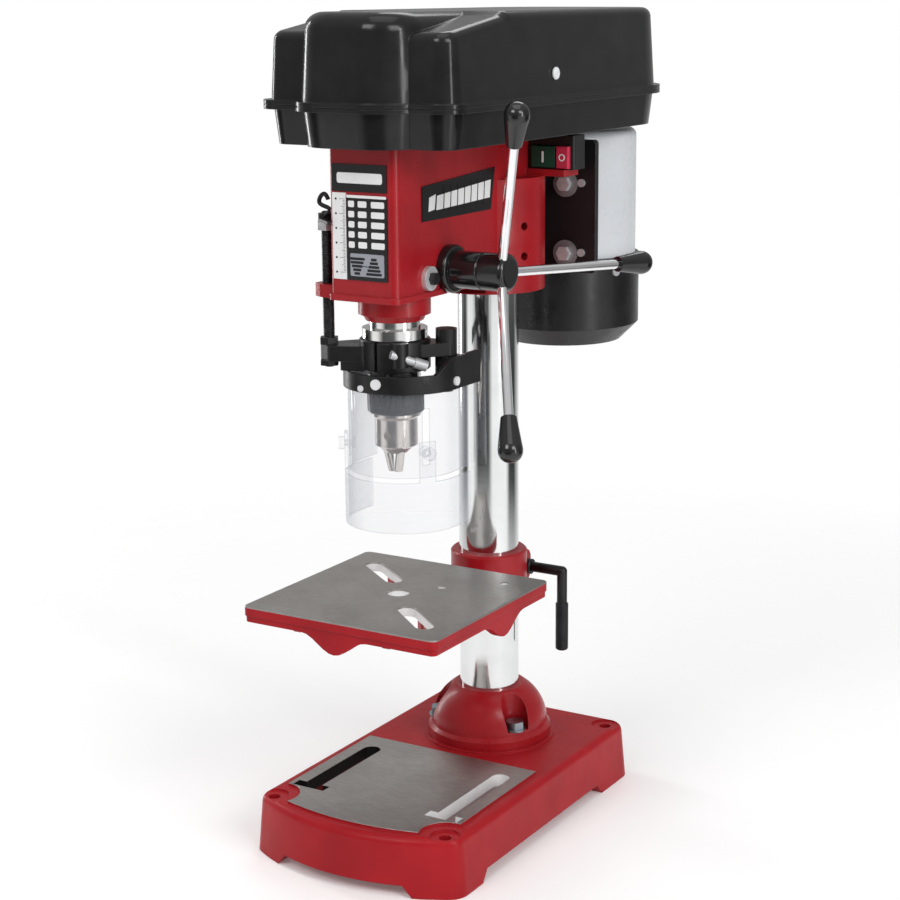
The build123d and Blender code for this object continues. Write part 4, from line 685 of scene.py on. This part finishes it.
# ---------------------------------------------------------------- camera
AZIMUTH = math.radians(30.16)
PITCH = math.radians(12.14)
ROLL = math.radians(-0.22)
CAMERA_AT = (0.7438, -1.2149, 0.6184)
back = Vector((math.sin(AZIMUTH) * math.cos(PITCH), -math.cos(AZIMUTH) * math.cos(PITCH), math.sin(PITCH)))
right = Vector((math.cos(AZIMUTH), math.sin(AZIMUTH), 0))
up = back.cross(right)
tilted_right = right * math.cos(ROLL) + up * math.sin(ROLL)
tilted_up = up * math.cos(ROLL) - right * math.sin(ROLL)
turned = Matrix((tilted_right, tilted_up, back)).transposed().to_4x4()
lens = bpy.data.cameras.new("camera")
lens.lens = 79.2
lens.sensor_width = 36
lens.shift_x = -0.0428
lens.shift_y = -0.0408
camera = bpy.data.objects.new("camera", lens)
camera.matrix_world = Matrix.Translation(CAMERA_AT) @ turned
bpy.context.scene.collection.objects.link(camera)
bpy.context.scene.camera = camera


# ---------------------------------------------------------------- light
def softbox(name, bearing, distance, height, aim_height, width, tall, radiance):
    """A soft light at a compass bearing round the column, turned towards it."""
    a = math.radians(bearing)
    at = Vector((distance * math.cos(a), distance * math.sin(a), height))
    light = bpy.data.lights.new(name, "AREA")
    light.shape = "RECTANGLE"
    light.size = width
    light.size_y = tall
    light.energy = radiance * math.pi * width * tall
    lamp = bpy.data.objects.new(name, light)
    lamp.location = at
    lamp.rotation_euler = (Vector((0, 0, aim_height)) - at).to_track_quat("-Z", "Y").to_euler()
    bpy.context.scene.collection.objects.link(lamp)


softbox("rim_left", 170, 1.7, 0.6, 0.4, 0.14, 1.3, 14)
softbox("strip_right", -14, 1.9, 0.7, 0.4, 0.13, 1.4, 15)
softbox("key_left", -96, 1.7, 1.6, 0.3, 0.8, 0.7, 6.5)
softbox("key_right", -28, 1.8, 1.45, 0.3, 0.8, 0.7, 6.0)
softbox("top", -60, 0.3, 2.2, 0.3, 1.2, 1.2, 1.2)
softbox("rear", 110, 1.6, 1.9, 0.3, 0.9, 0.7, 3.0)

# brightness round the horizon, as (share of a turn, grey)
HORIZON = ((0.0, 0.35), (0.045, 0.03), (0.075, 0.04), (0.11, 1.1), (0.165, 1.0), (0.22, 0.04), (0.335, 0.08),
           (0.375, 1.05), (0.53, 1.1), (0.575, 0.05), (0.64, 0.05), (0.69, 0.3), (0.75, 0.8), (0.92, 0.8),
           (1.0, 0.35))
ABOVE_EYE = (0.32, 0.32, 0.32)
OVERHEAD = (0.55, 0.55, 0.55)
WHITE = (1.0, 1.0, 1.0)


def studio_world():
    """White to the eye, with tall light and dark panels round the horizon for metal to mirror."""
    world = bpy.data.worlds.new("studio")
    bpy.context.scene.world = world
    world.use_nodes = True
    tree = world.node_tree
    background = tree.nodes["Background"]
    where = tree.nodes.new("ShaderNodeTexCoord")
    gradient = tree.nodes.new("ShaderNodeTexGradient")
    gradient.gradient_type = "RADIAL"
    tree.links.new(where.outputs["Generated"], gradient.inputs["Vector"])
    ramp = tree.nodes.new("ShaderNodeValToRGB")
    elements = ramp.color_ramp.elements
    for element, (place, grey) in zip(elements, (HORIZON[0], HORIZON[-1])):
        element.position = place
        element.color = (grey, grey, grey, 1)
    for place, grey in HORIZON[1:-1]:
        elements.new(place).color = (grey, grey, grey, 1)
    tree.links.new(gradient.outputs["Fac"], ramp.inputs["Fac"])
    split = tree.nodes.new("ShaderNodeSeparateXYZ")
    tree.links.new(where.outputs["Generated"], split.inputs["Vector"])
    height = split.outputs["Z"]
    panels = blend_colours(tree, spread(tree, height, 0.0, 0.9, -0.18, -0.04), ramp.outputs["Color"], ABOVE_EYE)
    panels = blend_colours(tree, spread(tree, height, 0.0, 1.0, 0.35, 0.75), panels, OVERHEAD)
    seen = tree.nodes.new("ShaderNodeLightPath")
    sky = blend_colours(tree, seen.outputs["Is Camera Ray"], panels, WHITE)
    tree.links.new(sky, background.inputs["Color"])
    background.inputs["Strength"].default_value = 1.0


studio_world()
